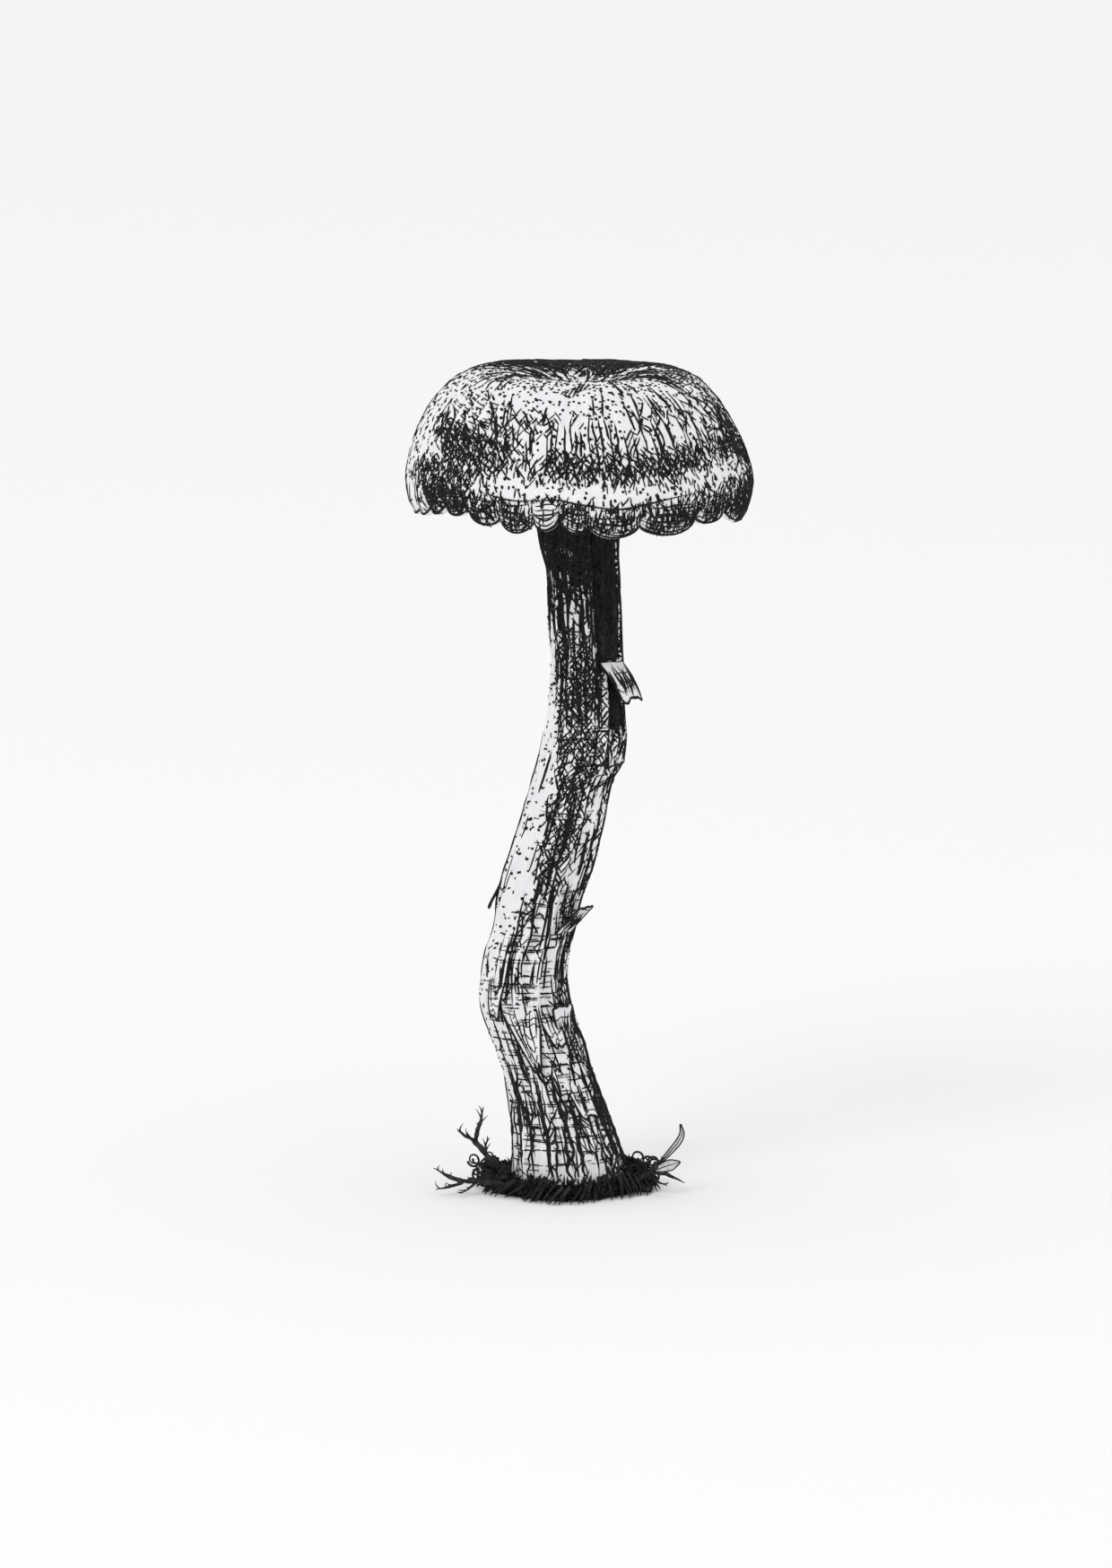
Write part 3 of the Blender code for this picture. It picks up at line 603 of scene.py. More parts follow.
bark_black = grained("bark_black", BARK_BLACK, *BARK_FINISH)
leaf_pale = grained("leaf_pale", LEAF_PALE, *LEAF_FINISH)
for name, chains, slot, stands_for in (
    ("twig_left_tall_bark", TALL_ROOTLET, "dark_rootlet", "twig_left_tall"),
    ("twig_left_low_bark", LOW_ROOTLET, "dark_rootlet", "twig_left_low"),
    ("sprig_bark", SPRIG_STALK, "dark_sprig", "sprig_right"),
):
    belongs(strands(name, rootlet_lines(chains), bark_black, ROOTLET_SIDES), stands_for)
leaf_edges = []
for name, line in (("sprig_blade", SPRIG_BLADE), ("sprig_leaf", SPRIG_LEAF)):
    dressed(leaf_skin(name, line), leaf_pale, "sprig_right")
    middle, half, across = leaf_frame(line)
    fold = LEAF_FOLD * half * (0.0, 1.0, 0.0)
    leaf_edges += [(middle + across * half * side - fold, LEAF_RIM) for side in (-1, 1)]
    vein = np.linspace(*LEAF_VEIN, len(middle)) * MM
    leaf_edges.append((middle - (0.0, LEAF_THICK / 2, 0.0), vein))
belongs(strands("sprig_leaf_rims", leaf_edges, bark_black), "sprig_right")


# Tendrils: black threads of moss and root at the clod's edge. Curls stand in a tangle on its two
# sides, and short stalks slant down to the ground all round it. Lengths are (least, most), in mm.
# Where the curls stand: (middle angle, spread, how many, nearest, furthest from the clod's edge).
CURLS = ((180, 28, 70, -2.6, 1.9), (3, 26, 70, -2.9, 0.9))
CURL_STEPS = 18
CURL_HEIGHT = (0.5, 2.8)
CURL_TURNS = (0.7, 1.4)
CURL_HEADING = (-0.6, 0.6)
CURL_RADIUS = (0.4, 0.85)
CURL_TIGHTENS = (1.0, 0.5)
CURL_THICK = (0.15, 0.08)
CURL_FLOOR = 0.14
CURL_SIDES = 5
STALKS = 150
STALK_STRAYS = (-0.4, 0.4)
STALK_FOOT = (-0.5, 1.6)
STALK_SLANT = (0.7, 1.5)
STALK_TALL = (1.0, 2.1)
# Where the stalks stand taller, and the share of it that each may take.
STALK_RISE = ((-52, 14, 1.1), (-84, 7, 0.7), (-112, 8, 0.6), (-140, 10, 0.5), (20, 20, 0.6), (120, 30, 0.6))
STALK_RISE_SHARE = (0.0, 1.3)
STALK_LEANS_IN = (1.6, 2.6)
STALK_SAG = 0.35
STALK_THICK = (0.26, 0.05)
STALK_FLOOR = 0.1
STALK_POINTS = 6
STALK_SIDES = 4


def curl_lines():
    """Loose curls in a tangle."""
    chance, lines = random.Random(61), []
    for middle, spread, count, nearest, furthest in CURLS:
        for _ in range(count):
            degrees = middle + chance.uniform(-spread, spread)
            reach = clod_edge(degrees) + chance.uniform(nearest, furthest)
            heart = CLOD_MIDDLE / MM + directions(degrees) * reach
            heart = heart + (0.0, 0.0, chance.uniform(*CURL_HEIGHT))
            first = chance.uniform(0, math.tau)
            turn = first + np.linspace(0, math.tau * chance.uniform(*CURL_TURNS), CURL_STEPS)
            heading = chance.uniform(*CURL_HEADING)
            level = np.cos(turn)
            flat = np.stack([level * math.cos(heading), level * math.sin(heading), np.sin(turn)], axis=-1)
            radius = np.linspace(*CURL_TIGHTENS, CURL_STEPS)[:, None] * chance.uniform(*CURL_RADIUS)
            line = heart + flat * radius
            line[:, 2] = np.maximum(line[:, 2], CURL_FLOOR)
            lines.append((line * MM, np.linspace(*CURL_THICK, CURL_STEPS) * MM))
    return lines


def stalk_lines():
    """Slanting stalks, each from the top of the clod's edge down to the ground."""
    chance, lines = random.Random(62), []
    for number in range(STALKS):
        degrees = (number + chance.uniform(*STALK_STRAYS)) * 360 / STALKS
        out, side = directions(degrees), directions(degrees + 90)
        reach = clod_edge(degrees) + chance.uniform(*STALK_FOOT)
        foot = CLOD_MIDDLE / MM + out * reach + (0.0, 0.0, STALK_FLOOR)
        slant = chance.uniform(*STALK_SLANT)
        rise = chance.uniform(*STALK_TALL)
        rise = rise + spread_sum(STALK_RISE, degrees) * chance.uniform(*STALK_RISE_SHARE)
        head = foot - out * chance.uniform(*STALK_LEANS_IN) + side * slant + (0.0, 0.0, rise)
        share = np.linspace(0, 1, STALK_POINTS)[:, None]
        line = head + (foot - head) * share + out * STALK_SAG * share * (1 - share) * 4
        lines.append((line * MM, np.linspace(*STALK_THICK, STALK_POINTS) * MM))
    return lines


belongs(strands("clod_curls", curl_lines(), moss_black, CURL_SIDES), "moss_clod")
belongs(strands("clod_stalks", stalk_lines(), moss_black, STALK_SIDES), "moss_clod")


# Stem: one long tough stalk, bent at a knee, pale grey flesh under a skin of dark fibres. It grew as
# one piece with the cap; where its skin is torn off, as high on the right, the flesh is painted black.
# That black high on the right is also painted shade on the stem's dark side, and a band of painted
# shade blackens the top all round under the cap.
STEM = (
    (1.1, -0.9, 0.0, 13.2), (5.6, -1.6, 0.2, 11.7), (11.7, -3.2, 0.6, 10.0), (17.4, -5.0, 1.0, 10.0),
    (20.8, -5.95, 1.0, 9.7), (24.0, -6.1, 0.9, 9.3), (26.8, -5.8, 0.6, 9.3), (29.4, -5.05, 0.4, 9.1),
    (33.0, -4.45, 0.0, 9.2), (37.5, -3.2, -0.5, 9.4), (42.1, -1.95, -0.8, 9.1), (46.0, -0.95, -0.9, 8.8),
    (48.6, 0.15, -0.9, 9.3), (51.3, 0.65, -0.8, 9.2), (54.3, 0.8, -0.7, 8.4), (59.0, 0.85, -0.5, 7.9),
    (63.5, 0.65, -0.3, 7.8), (70.5, 0.3, 0.0, 8.0), (73.0, -0.05, 0.0, 8.6), (76.5, -0.1, 0.0, 9.4),
    (89.0, 0.0, 0.0, 10.4),
)  # fmt: skip
STEM_DEPTH = 0.93
STEM_FOOT, STEM_TOP = 1.1, 86.0
STEM_COLUMNS, STEM_ROWS = 156, 420
STEM_TWIST = 35 / 87.9
# Uneven lumps: height, how closely they follow one another round the stem, and length up it.
LUMP, LUMP_ROUND, LUMP_LENGTH = 0.3, 1.4, 9.0
# Ridges of fibres: (how many, depth), and how they drift: amount, closeness round, length up.
FIBRE_RIDGES = ((13, 0.15), (31, 0.07), (67, 0.035))
RIDGE_DRIFT, DRIFT_ROUND, DRIFT_LENGTH = 1.6, 2, 6
# Torn places and painted shade: (lowest, highest, from angle, to angle, depth in mm, how black). The
# first two rows, high on the right, are torn and painted shade; the last, all round the top under the
# cap with no depth, is painted shade only.
TORN_AND_SHADE = (
    (58.4, 90.0, -72, -12, 0.3, 1.0), (51.6, 60.0, -52, -12, 0.3, 1.0), (67.3, 73.5, 75, 93, 0.2, 0.9),
    (55.3, 60.5, 117, 143, 0.2, 0.85), (44.4, 49.0, 54, 71, 0.2, 0.8), (38.4, 41.0, -37, -27, 0.15, 0.9),
    (24.1, 26.3, -160, -149, 0.15, 0.9), (73.0, 90.0, -180, 180, 0.0, 0.8),
)  # fmt: skip
# Ragged edges of the torn places and painted shade: (degrees, mm) that they wander, closeness round,
# (amount, length) up the stem, and how soft the edges are in degrees and in mm.
RAGGED = (2.6, 0.9)
RAGGED_ROUND = 4.5
RAGGED_UP = ((1.0, 2.5), (0.5, 0.8))
SOFT_ROUND, SOFT_UP = 1.5, 0.25
STEM_WIDEST = 41.0 * MM
FLESH_PALE = (0.84, 0.84, 0.85, 1.0)
FLESH_SHADED = (0.76, 0.76, 0.79, 1.0)
FLESH_ROUGHNESS = 0.62
# Fine fibres and mottles of the flesh: detail of the first, (fineness, detail) of the second, the
# share of each, the spread that runs from pale to shaded, and the relief of the fibres.
FLESH_DETAIL = 3.0
MOTTLE = (260.0, 2.0)
FIBRE_SHARE, MOTTLE_SHARE = 0.6, 0.7
FLESH_SPREAD = (0.55, 0.85)
FLESH_RELIEF = (0.35, 0.2 * MM)
# How far the fibres fray the black of torn flesh and of painted shade, and the spread over which it
# turns black.
TORN_AND_SHADE_FRAY = 0.9
TORN_AND_SHADE_SPREAD = (0.42, 0.56)
INK_BLACK = (0.012, 0.012, 0.013, 1.0)
INK_FINISH = (0.6, 0.08, (2400.0, 2.0, 0.3, 0.8), (0.006, 0.03))
# Fibres along and round each skin's map, for the grain of its flesh.
STEM_GRAIN, STRIP_GRAIN, CAP_GRAIN = (180.0, 36.0), (14.0, 2.0), (400.0, 40.0)
# Share of the skin that fibrils cover: (height, share), then spots (height, reach, angle, spread,
# share). Near the top, under the cap, the cover rises to nearly full as painted shade, and the spots
# at -35 to -22 degrees darken the right side as painted shade.
STEM_COVER = (
    (0, 0.46), (8, 0.46), (14, 0.44), (20, 0.42), (26, 0.42), (33, 0.5), (54, 0.55), (59, 0.66), (63, 0.68),
    (68, 0.88), (71, 0.97), (86, 0.97),
)  # fmt: skip
STEM_SPOTS = (
    (45, 12, -85, 22, 0.22), (44, 9, -50, 16, -0.2), (8, 10, -22, 16, 0.3), (22, 9, -28, 14, 0.25),
    (62, 6, -162, 14, -0.3), (65, 6, -128, 12, 0.1), (65, 5, -104, 12, -0.16), (28, 5, -158, 22, -0.2),
    (58, 4, -100, 25, 0.15), (56, 3, -35, 15, 0.3), (33, 3.5, -70, 22, -0.16), (24, 8, 90, 40, -0.1),
    (46, 16, 70, 30, 0.2), (60, 9, 60, 30, 0.15), (12, 6, 100, 30, 0.1),
)  # fmt: skip
# The bare strip down the left, with few fibrils, is a painted highlight on the lit side: (height,
# angle of its right edge); its left edge is at the back. The right edge is soft, and wanders
# (degrees, length).
BARE_LIT_STRIP = (
    (0, -184), (5, -176), (10, -158), (14, -150), (20, -148), (27, -141), (30, -126), (33, -110),
    (40, -112), (45, -116), (50, -126), (53, -142), (56, -152), (61, -172), (66, -190), (86, -190),
)  # fmt: skip
BARE_BACK = 150
BARE_SOFT = 3
BARE_WANDER = (5, 1.6)
BARE_SPARES = 0.9
COVER_LIMITS = (0.05, 0.95)
# Streaks of closer fibrils that wind up the stem: strength, closeness round, length up, the load
# between them, and the most that it may rise to.
STREAKS, STREAKS_ROUND, STREAKS_LENGTH = 0.8, 5.5, 4.5
EVEN_LOAD, FULLEST_LOAD = 1.1, 2.0
# Heights between which the foot's coarse skin ends, the upper stem's starts, the net of crossed
# fibrils in front starts and ends, and crossed fibrils and rings give way under the cap.
FOOT_ENDS, UPPER_STARTS = (18, 26), (28, 36)
NET_STARTS, NET_ENDS, NET_HALF_TURN = (34, 39), (58, 62), 45
CROSSED_END, RINGS_END = (60, 65), (62, 66)
# Each layer's part of the load: (at the foot, more on the upper stem, less in the net, less at the
# foot).
CRACKS_PART = (0.36, -0.18, 0.6, 0.75)
LONG_PART = (0.4, 0.12, 0.45, 0.3)
# Crossed fibrils take what is over a least load: (at the foot, more above); rings likewise.
CROSSED_OVER = 0.3
CROSSED_PART = (0.15, 0.35)
RINGS_PART = (0.4, -0.28)
UNDER_CAP = 0.7
# Small dots, where fibrils cover less than this, and a few everywhere.
DOTS, DOTS_COVER, DOTS_LEAST, DOTS_SPARED = 0.1, (0.1, 0.45), 0.01, 0.35


def stem_stations(height):
    """Middle and width of the stem at heights in mm, smooth through its stations."""
    rows = np.array(STEM)
    z, places = rows[:, 0], rows[:, 1:]
    low, high = np.maximum(np.arange(len(z)) - 1, 0), np.minimum(np.arange(len(z)) + 1, len(z) - 1)
    slope = (places[high] - places[low]) / (z[high] - z[low])[:, None]
    height = np.clip(height, z[0], z[-1])
    i = np.clip(np.searchsorted(z, height, side="right") - 1, 0, len(z) - 2)
    span = (z[i + 1] - z[i])[..., None]
    t = (height - z[i])[..., None] / span
    return eased(t, places[i], span * slope[i], places[i + 1], span * slope[i + 1])


def stem_surface(degrees, height, out=0.0):
    """Places on the stem's skin, or out from it by that many mm."""
    degrees, height, out = np.broadcast_arrays(np.asarray(degrees, float), height, out)
    middle_x, middle_y, width = np.moveaxis(stem_stations(height), -1, 0)
    ways = directions(degrees)
    out = out + LUMP * uneven(ways * LUMP_ROUND + upright(height / LUMP_LENGTH), 1.0)
    place = np.stack([middle_x, middle_y, height], axis=-1)
    place = place + ways * (1.0, STEM_DEPTH, 0.0) * (width / 2)[..., None] + ways * out[..., None]
    return place * MM


def torn_and_shade_share(degrees, height):
    """How deep the skin is torn away, in mm, and how black it is painted there, for torn flesh and for
    shade.
    """
    round_it = directions(degrees) * RAGGED_ROUND
    ragged = sum(amount * uneven(round_it + upright(height / length), 1.0) for amount, length in RAGGED_UP)
    deep, black = 0.0 * degrees, 0.0 * degrees
    for lowest, highest, start, end, depth, dark in TORN_AND_SHADE:
        middle, half = (start + end) / 2, (end - start) / 2
        away = np.abs(turn_from(middle, degrees)) + ragged * RAGGED[0]
        up = height + ragged * RAGGED[1]
        inside = 1 - smooth(half - SOFT_ROUND, half + SOFT_ROUND, away)
        inside = inside * smooth(lowest - SOFT_UP, lowest + SOFT_UP, up)
        inside = inside * (1 - smooth(highest - SOFT_UP, highest + SOFT_UP, up))
        deep = np.maximum(deep, inside * depth)
        black = np.maximum(black, inside * dark)
    return deep, black


def stem_relief(degrees, height):
    """Ridges of fibre that wind slowly up the stem, in mm."""
    angle = np.radians(degrees - STEM_TWIST * (height - STEM_FOOT))
    drift = RIDGE_DRIFT * uneven(directions(degrees) * DRIFT_ROUND + upright(height / DRIFT_LENGTH), 1.0)
    return sum(
        depth * np.cos(ridges * angle + drift * (1 + i)) for i, (ridges, depth) in enumerate(FIBRE_RIDGES)
    )


def swung(tree, value, grain, amount):
    """A value moved up and down by a grain that runs from 0 to 1."""
    swing = calc(tree, "MULTIPLY", calc(tree, "SUBTRACT", grain, 0.5), amount)
    return calc(tree, "ADD", value, swing)


def blended(tree, share, first, second):
    """A colour that goes from the first to the second."""
    inputs = {"Factor_Float": share, "A_Color": first, "B_Color": second}
    made = node(tree, "ShaderNodeMix", inputs, data_type="RGBA")
    return next(socket for socket in made if socket.identifier == "Result_Color")


def flesh(name, fibres, dark_value=None):
    """Pale grey flesh with fine fibres along the map, a little mottled; painted black where the value says,
    for torn flesh and for shade.
    """
    made, tree, shader = finish(name, FLESH_PALE, FLESH_ROUGHNESS)
    mapped = node(tree, "ShaderNodeUVMap", uv_map="skin")[0]
    stretched = vector_calc(tree, "MULTIPLY", mapped, (*fibres, 1.0))
    fibre = noise_of(tree, stretched, 1.0, FLESH_DETAIL)
    mottle = calc(tree, "MULTIPLY", grain_of(tree, *MOTTLE), MOTTLE_SHARE)
    shaded = calc(tree, "ADD", calc(tree, "MULTIPLY", fibre, FIBRE_SHARE), mottle)
    colour = blended(tree, ranged(tree, shaded, FLESH_SPREAD), FLESH_PALE, FLESH_SHADED)
    if dark_value:
        dark = node(tree, "ShaderNodeAttribute", attribute_name=dark_value)["Fac"]
        torn = ranged(tree, swung(tree, dark, fibre, TORN_AND_SHADE_FRAY), TORN_AND_SHADE_SPREAD)
        colour = blended(tree, torn, colour, INK_BLACK)
    tree.links.new(colour, shader.inputs["Base Color"])
    roughen(tree, shader, fibre, *FLESH_RELIEF)
    return made


def spots(table, along, degrees):
    """What soft spots add up to: (place, reach in mm, angle, spread in degrees, amount)."""
    total = 0.0 * degrees
    for place, reach, middle, spread, amount in table:
        away = turn_from(middle, degrees)
        total = total + amount * np.exp(-(((along - place) / reach) ** 2) - (away / spread) ** 2)
    return total


def at_way(table, way):
    """A table's value at each way along it: (way, value), with straight runs between."""
    return np.interp(way, *np.transpose(table))


def round_patch(middle, half_turn, degrees):
    """1 all over a patch round a middle angle, and 0 beyond its half turn, with soft edges."""
    return np.exp(-((turn_from(middle, degrees) / half_turn) ** 4))


fibril_black = grained("fibril_black", INK_BLACK, *INK_FINISH)
stem_turns = np.linspace(0, 1, STEM_COLUMNS + 1)
stem_heights = np.linspace(STEM_FOOT, STEM_TOP, STEM_ROWS)
stem_angle, stem_height = np.meshgrid(stem_turns[:-1] * 360, stem_heights)
# How deep each place is torn, and how black it is painted: torn flesh, and painted shade high on the right
# and under the cap.
deep, black = torn_and_shade_share(stem_angle, stem_height)
stem_points = stem_surface(stem_angle, stem_height, stem_relief(stem_angle, stem_height) - deep)
stem_points[[0, -1]] = stem_points[[0, -1]].mean(axis=1)[:, None]

cover = at_way(STEM_COVER, stem_height) + spots(STEM_SPOTS, stem_height, stem_angle)
bare_edge = at_way(BARE_LIT_STRIP, stem_height) - BARE_BACK + 360
bare_edge = bare_edge + BARE_WANDER[0] * uneven(upright(stem_height), BARE_WANDER[1])
bare_lit = 1 - smooth(bare_edge - BARE_SOFT, bare_edge + BARE_SOFT, (stem_angle - BARE_BACK) % 360)
cover = np.clip(cover, *COVER_LIMITS) * (1 - BARE_SPARES * bare_lit)
wound = directions(stem_angle - STEM_TWIST * stem_height) * STREAKS_ROUND
streak = uneven(wound + upright(stem_height / STREAKS_LENGTH), 1.0)
streak = np.clip(EVEN_LOAD + STREAKS * streak * (1 - bare_lit), 0.0, FULLEST_LOAD)
stem_load = -np.log(1 - cover) * streak
upper = smooth(*UPPER_STARTS, stem_height)
at_foot = 1 - smooth(*FOOT_ENDS, stem_height)
net = smooth(*NET_STARTS, stem_height) * (1 - smooth(*NET_ENDS, stem_height))
net = net * round_patch(-90, NET_HALF_TURN, stem_angle)


def long_part(part):
    """The load of a layer of long fibrils, thinner in the net and at the foot."""
    least, more_above, less_in_net, less_at_foot = part
    return stem_load * (least + more_above * upper) * (1 - less_in_net * net) * (1 - less_at_foot * at_foot)


def short_part(load, part, ends):
    """The load of a layer of short fibrils, which gives way to the long ones under the cap."""
    least, more_above = part
    return load * (least + more_above * upper) * (1 - UNDER_CAP * smooth(*ends, stem_height))


stem_values = {
    "torn": black,
    "girth": math.pi * stem_stations(stem_height)[..., 2] * MM * (1 + STEM_DEPTH) / 2,
    "cracks": long_part(CRACKS_PART),
    "long": long_part(LONG_PART),
    "cross": short_part(np.maximum(stem_load - CROSSED_OVER, 0.0), CROSSED_PART, CROSSED_END),
    "rings": short_part(stem_load, RINGS_PART, RINGS_END) * (1 - bare_lit),
    "specks": (DOTS * (1 - smooth(*DOTS_COVER, cover)) + DOTS_LEAST) * (1 - DOTS_SPARED * bare_lit),
}
stem_reach = (STEM_TOP - STEM_FOOT) * MM
stem_mesh = closed_skin("stem_skin", stem_points, stem_turns, np.linspace(0, 1, STEM_ROWS), stem_values)
stem = dressed(stem_mesh, flesh("stem_flesh", STEM_GRAIN, "torn"), "mushroom")

FIBRIL_INPUTS = {
    "Skin": "Object", "Fibril": "Object", "Load": "String", "Columns": "Int", "Rows": "Int",
    "Strew Across": "Float", "Strew Along": "Float", "Most": "Float", "Widest": "Float",
    "Reach": "Float", "Length": "Float", "Width": "Float", "Height": "Float", "Lean": "Float",
    "Lean Spread": "Float", "Bend": "Float", "Waver": "Float", "Waver Length": "Float",
    "Seed": "Int", "Finish": "Material",
}  # fmt: skip
# A fibril's own share of the width, length and height asked for: (least, most).
FIBRIL_SIZES = (("Width", 0.7, 1.3), ("Length", 0.55, 1.35), ("Height", 0.8, 1.2))
# Fibrils close together lean alike; this says how fine and how strong that is.
LEAN_FINENESS, LEAN_ALIKE = 260.0, 4.0
# The waver of one fibril differs from the next one's by this.
WAVERS_APART = 97.0
# Room kept free at a skin's two ends, as a share of a fibril's length and of the map.
END_ROOM, MAP_ENDS, MAP_SEAM = 0.4, (0.014, 0.986), (0.0001, 0.9999)


def fibril_tree():
    """Fibrils laid on a skin through its map: strewn over an even grid, kept where the load asks for
    them, bent, leaned and wavered flat, then laid on the skin and raised from it."""
    tree, given = new_tree("lay_fibrils", FIBRIL_INPUTS)
    skin = node(tree, "GeometryNodeObjectInfo", {"Object": given["Skin"]})["Geometry"]
    fibril = node(tree, "GeometryNodeObjectInfo", {"Object": given["Fibril"]})["Geometry"]
    position = node(tree, "GeometryNodeInputPosition")[0]

    def named(label, kind="FLOAT"):
        return node(tree, "GeometryNodeInputNamedAttribute", {"Name": label}, data_type=kind)[0]

    skin_map = named("skin", "FLOAT_VECTOR")

    def read(kind, value, spot):
        inputs = {"Mesh": skin, "Value": value, "Source UV Map": skin_map, "Sample UV": spot}
        return node(tree, "GeometryNodeSampleUVSurface", inputs, data_type=kind)[0]

    def kept(geometry, label, value, kind="FLOAT"):
        inputs = {"Geometry": geometry, "Name": label, "Value": value}
        return node(tree, "GeometryNodeStoreNamedAttribute", inputs, data_type=kind, domain="POINT")[0]

    def random_between(low, high, place):
        return drawn_number(tree, low, high, given["Seed"], place)

    def add(first, second):
        return calc(tree, "ADD", first, second)

    def times(first, second):
        return calc(tree, "MULTIPLY", first, second)

    def over(first, second):
        return calc(tree, "DIVIDE", first, second)

    def held(value, low, high):
        return calc(tree, "MINIMUM", calc(tree, "MAXIMUM", value, low), high)

    inputs = {"Size X": 1.0, "Size Y": 1.0, "Vertices X": given["Columns"], "Vertices Y": given["Rows"]}
    sheet = node(tree, "GeometryNodeMeshGrid", inputs)["Mesh"]
    seeds = node(tree, "GeometryNodeMeshToPoints", {"Mesh": sheet})[0]
    strew_x = times(over(random_between(-1.0, 1.0, 1), given["Columns"]), given["Strew Across"])
    strew_y = times(over(random_between(-1.0, 1.0, 2), given["Rows"]), given["Strew Along"])
    spot = vector_calc(tree, "ADD", position, vector_of(tree, strew_x, strew_y, 0.0))
    spot = vector_calc(tree, "ADD", spot, (0.5, 0.5, 0.0))
    seeds = kept(seeds, "fibril_spot", spot, "FLOAT_VECTOR")
    spot = named("fibril_spot", "FLOAT_VECTOR")
    turn, rise, _ = parts_of(tree, spot)
    spot_in = vector_of(tree, calc(tree, "FRACT", turn), rise, 0.0)
    girth = read("FLOAT", named("girth"), spot_in)
    load = read("FLOAT", named(given["Load"]), spot_in)
    wanted = over(times(load, girth), times(given["Most"], given["Widest"]))
    keep = calc(tree, "LESS_THAN", random_between(0.0, 1.0, 3), wanted)
    end_room = over(times(given["Length"], END_ROOM), given["Reach"])
    keep = times(keep, calc(tree, "GREATER_THAN", rise, end_room))
    keep = times(keep, calc(tree, "LESS_THAN", add(rise, end_room), 1.0))
    seeds = kept(seeds, "fibril_girth", girth)
    place = scaled(tree, read("FLOAT_VECTOR", position, spot_in), LEAN_FINENESS)
    own = swung(tree, random_between(-1.0, 1.0, 4), noise_of(tree, place, 1.0, 1.0), LEAN_ALIKE)
    lean = add(given["Lean"], times(given["Lean Spread"], own))
    seeds = kept(seeds, "fibril_lean", add(lean, read("FLOAT", named("sweep"), spot_in)))
    seeds = kept(seeds, "fibril_bend", times(given["Bend"], random_between(-1.0, 1.0, 5)))
    seeds = kept(seeds, "fibril_keep", keep)
    middle = vector_of(tree, 0.0, 0.0, 0.0)
    gathered = node(tree, "GeometryNodeSetPosition", {"Geometry": seeds, "Position": middle})[0]
    sizes = [
        times(given[label], random_between(least, most, 6 + axis))
        for axis, (label, least, most) in enumerate(FIBRIL_SIZES)
    ]
    inputs = {"Points": gathered, "Selection": named("fibril_keep"), "Instance": fibril}
    inputs["Scale"] = vector_of(tree, *sizes)
    laid = node(tree, "GeometryNodeInstanceOnPoints", inputs)[0]
    real = node(tree, "GeometryNodeRealizeInstances", {"Geometry": laid})[0]
    across, along, up = parts_of(tree, position)
    run = vector_of(tree, 0.0, 0.0, over(along, given["Waver Length"]))
    ripple = noise_of(tree, vector_calc(tree, "ADD", scaled(tree, spot, WAVERS_APART), run), 1.0, 1.0)
    bent = swung(tree, times(named("fibril_bend"), times(along, along)), ripple, times(given["Waver"], 2.0))
    inputs = {"Vector": vector_of(tree, add(across, bent), along, 0.0), "Angle": named("fibril_lean")}
    leaned = node(tree, "ShaderNodeVectorRotate", inputs, rotation_type="Z_AXIS")[0]
    flat_x, flat_y, _ = parts_of(tree, leaned)
    new_turn = calc(tree, "FRACT", add(turn, over(flat_x, named("fibril_girth"))))
    new_rise = held(add(rise, over(flat_y, given["Reach"])), *MAP_ENDS)
    new_spot = vector_of(tree, held(new_turn, *MAP_SEAM), new_rise, 0.0)
    normal = node(tree, "GeometryNodeInputNormal")["Normal"]
    raised = scaled(tree, read("FLOAT_VECTOR", normal, new_spot), up)
    place = vector_calc(tree, "ADD", read("FLOAT_VECTOR", position, new_spot), raised)
    real = node(tree, "GeometryNodeSetPosition", {"Geometry": real, "Position": place})[0]
    return finish_tree(tree, real, given["Finish"])


# Across a fibril: how wide it is, how tall, and how high its middle stands, as shares.
SPINDLE_WIDE, SPINDLE_TALL, SPINDLE_UP = 0.58, 0.42, 0.3


def spindle(name, stations, sides):
    """A closed spindle along +Y: stations are (place from -0.5 to 0.5, share of the width)."""
    place, share = np.transpose(stations)[..., None]
    turn = np.radians(90 + np.arange(sides) * 360 / sides)
    across, up = np.cos(turn) * SPINDLE_WIDE, np.sin(turn) * SPINDLE_TALL + SPINDLE_UP
    points = np.stack([share * across, place + 0 * turn, share * up], axis=-1)
    return in_scene(name, closed_skin(name, points, np.linspace(0, 1, sides + 1), place[:, 0]))


FIBRILS = fibril_tree()
FIBRIL_LINE = ((-0.5, 0.0), (-0.42, 0.75), (-0.2, 1.0), (0.05, 1.0), (0.3, 0.8), (0.5, 0.0))
SPECK_LINE = ((-0.5, 0.0), (-0.25, 0.85), (0.25, 0.85), (0.5, 0.0))
FIBRIL_SHAPE = spindle("fibril", FIBRIL_LINE, 3)
SPECK_SHAPE = spindle("speck", SPECK_LINE, 4)
# The part of its length times its width that a fibril covers.
FIBRIL_FILL = 0.72
# What every layer has unless it says otherwise.
USUAL_FIBRIL = {
    "Fibril": FIBRIL_SHAPE, "Strew Across": 0.7, "Strew Along": 0.9, "Height": 0.16 * MM, "Lean": 0.0,
    "Lean Spread": 0.1, "Bend": 20.0, "Waver": 0.12 * MM, "Waver Length": 1.0 * MM, "Finish": fibril_black,
}  # fmt: skip
ACROSS = math.radians(90)
CROSSING = 0.62


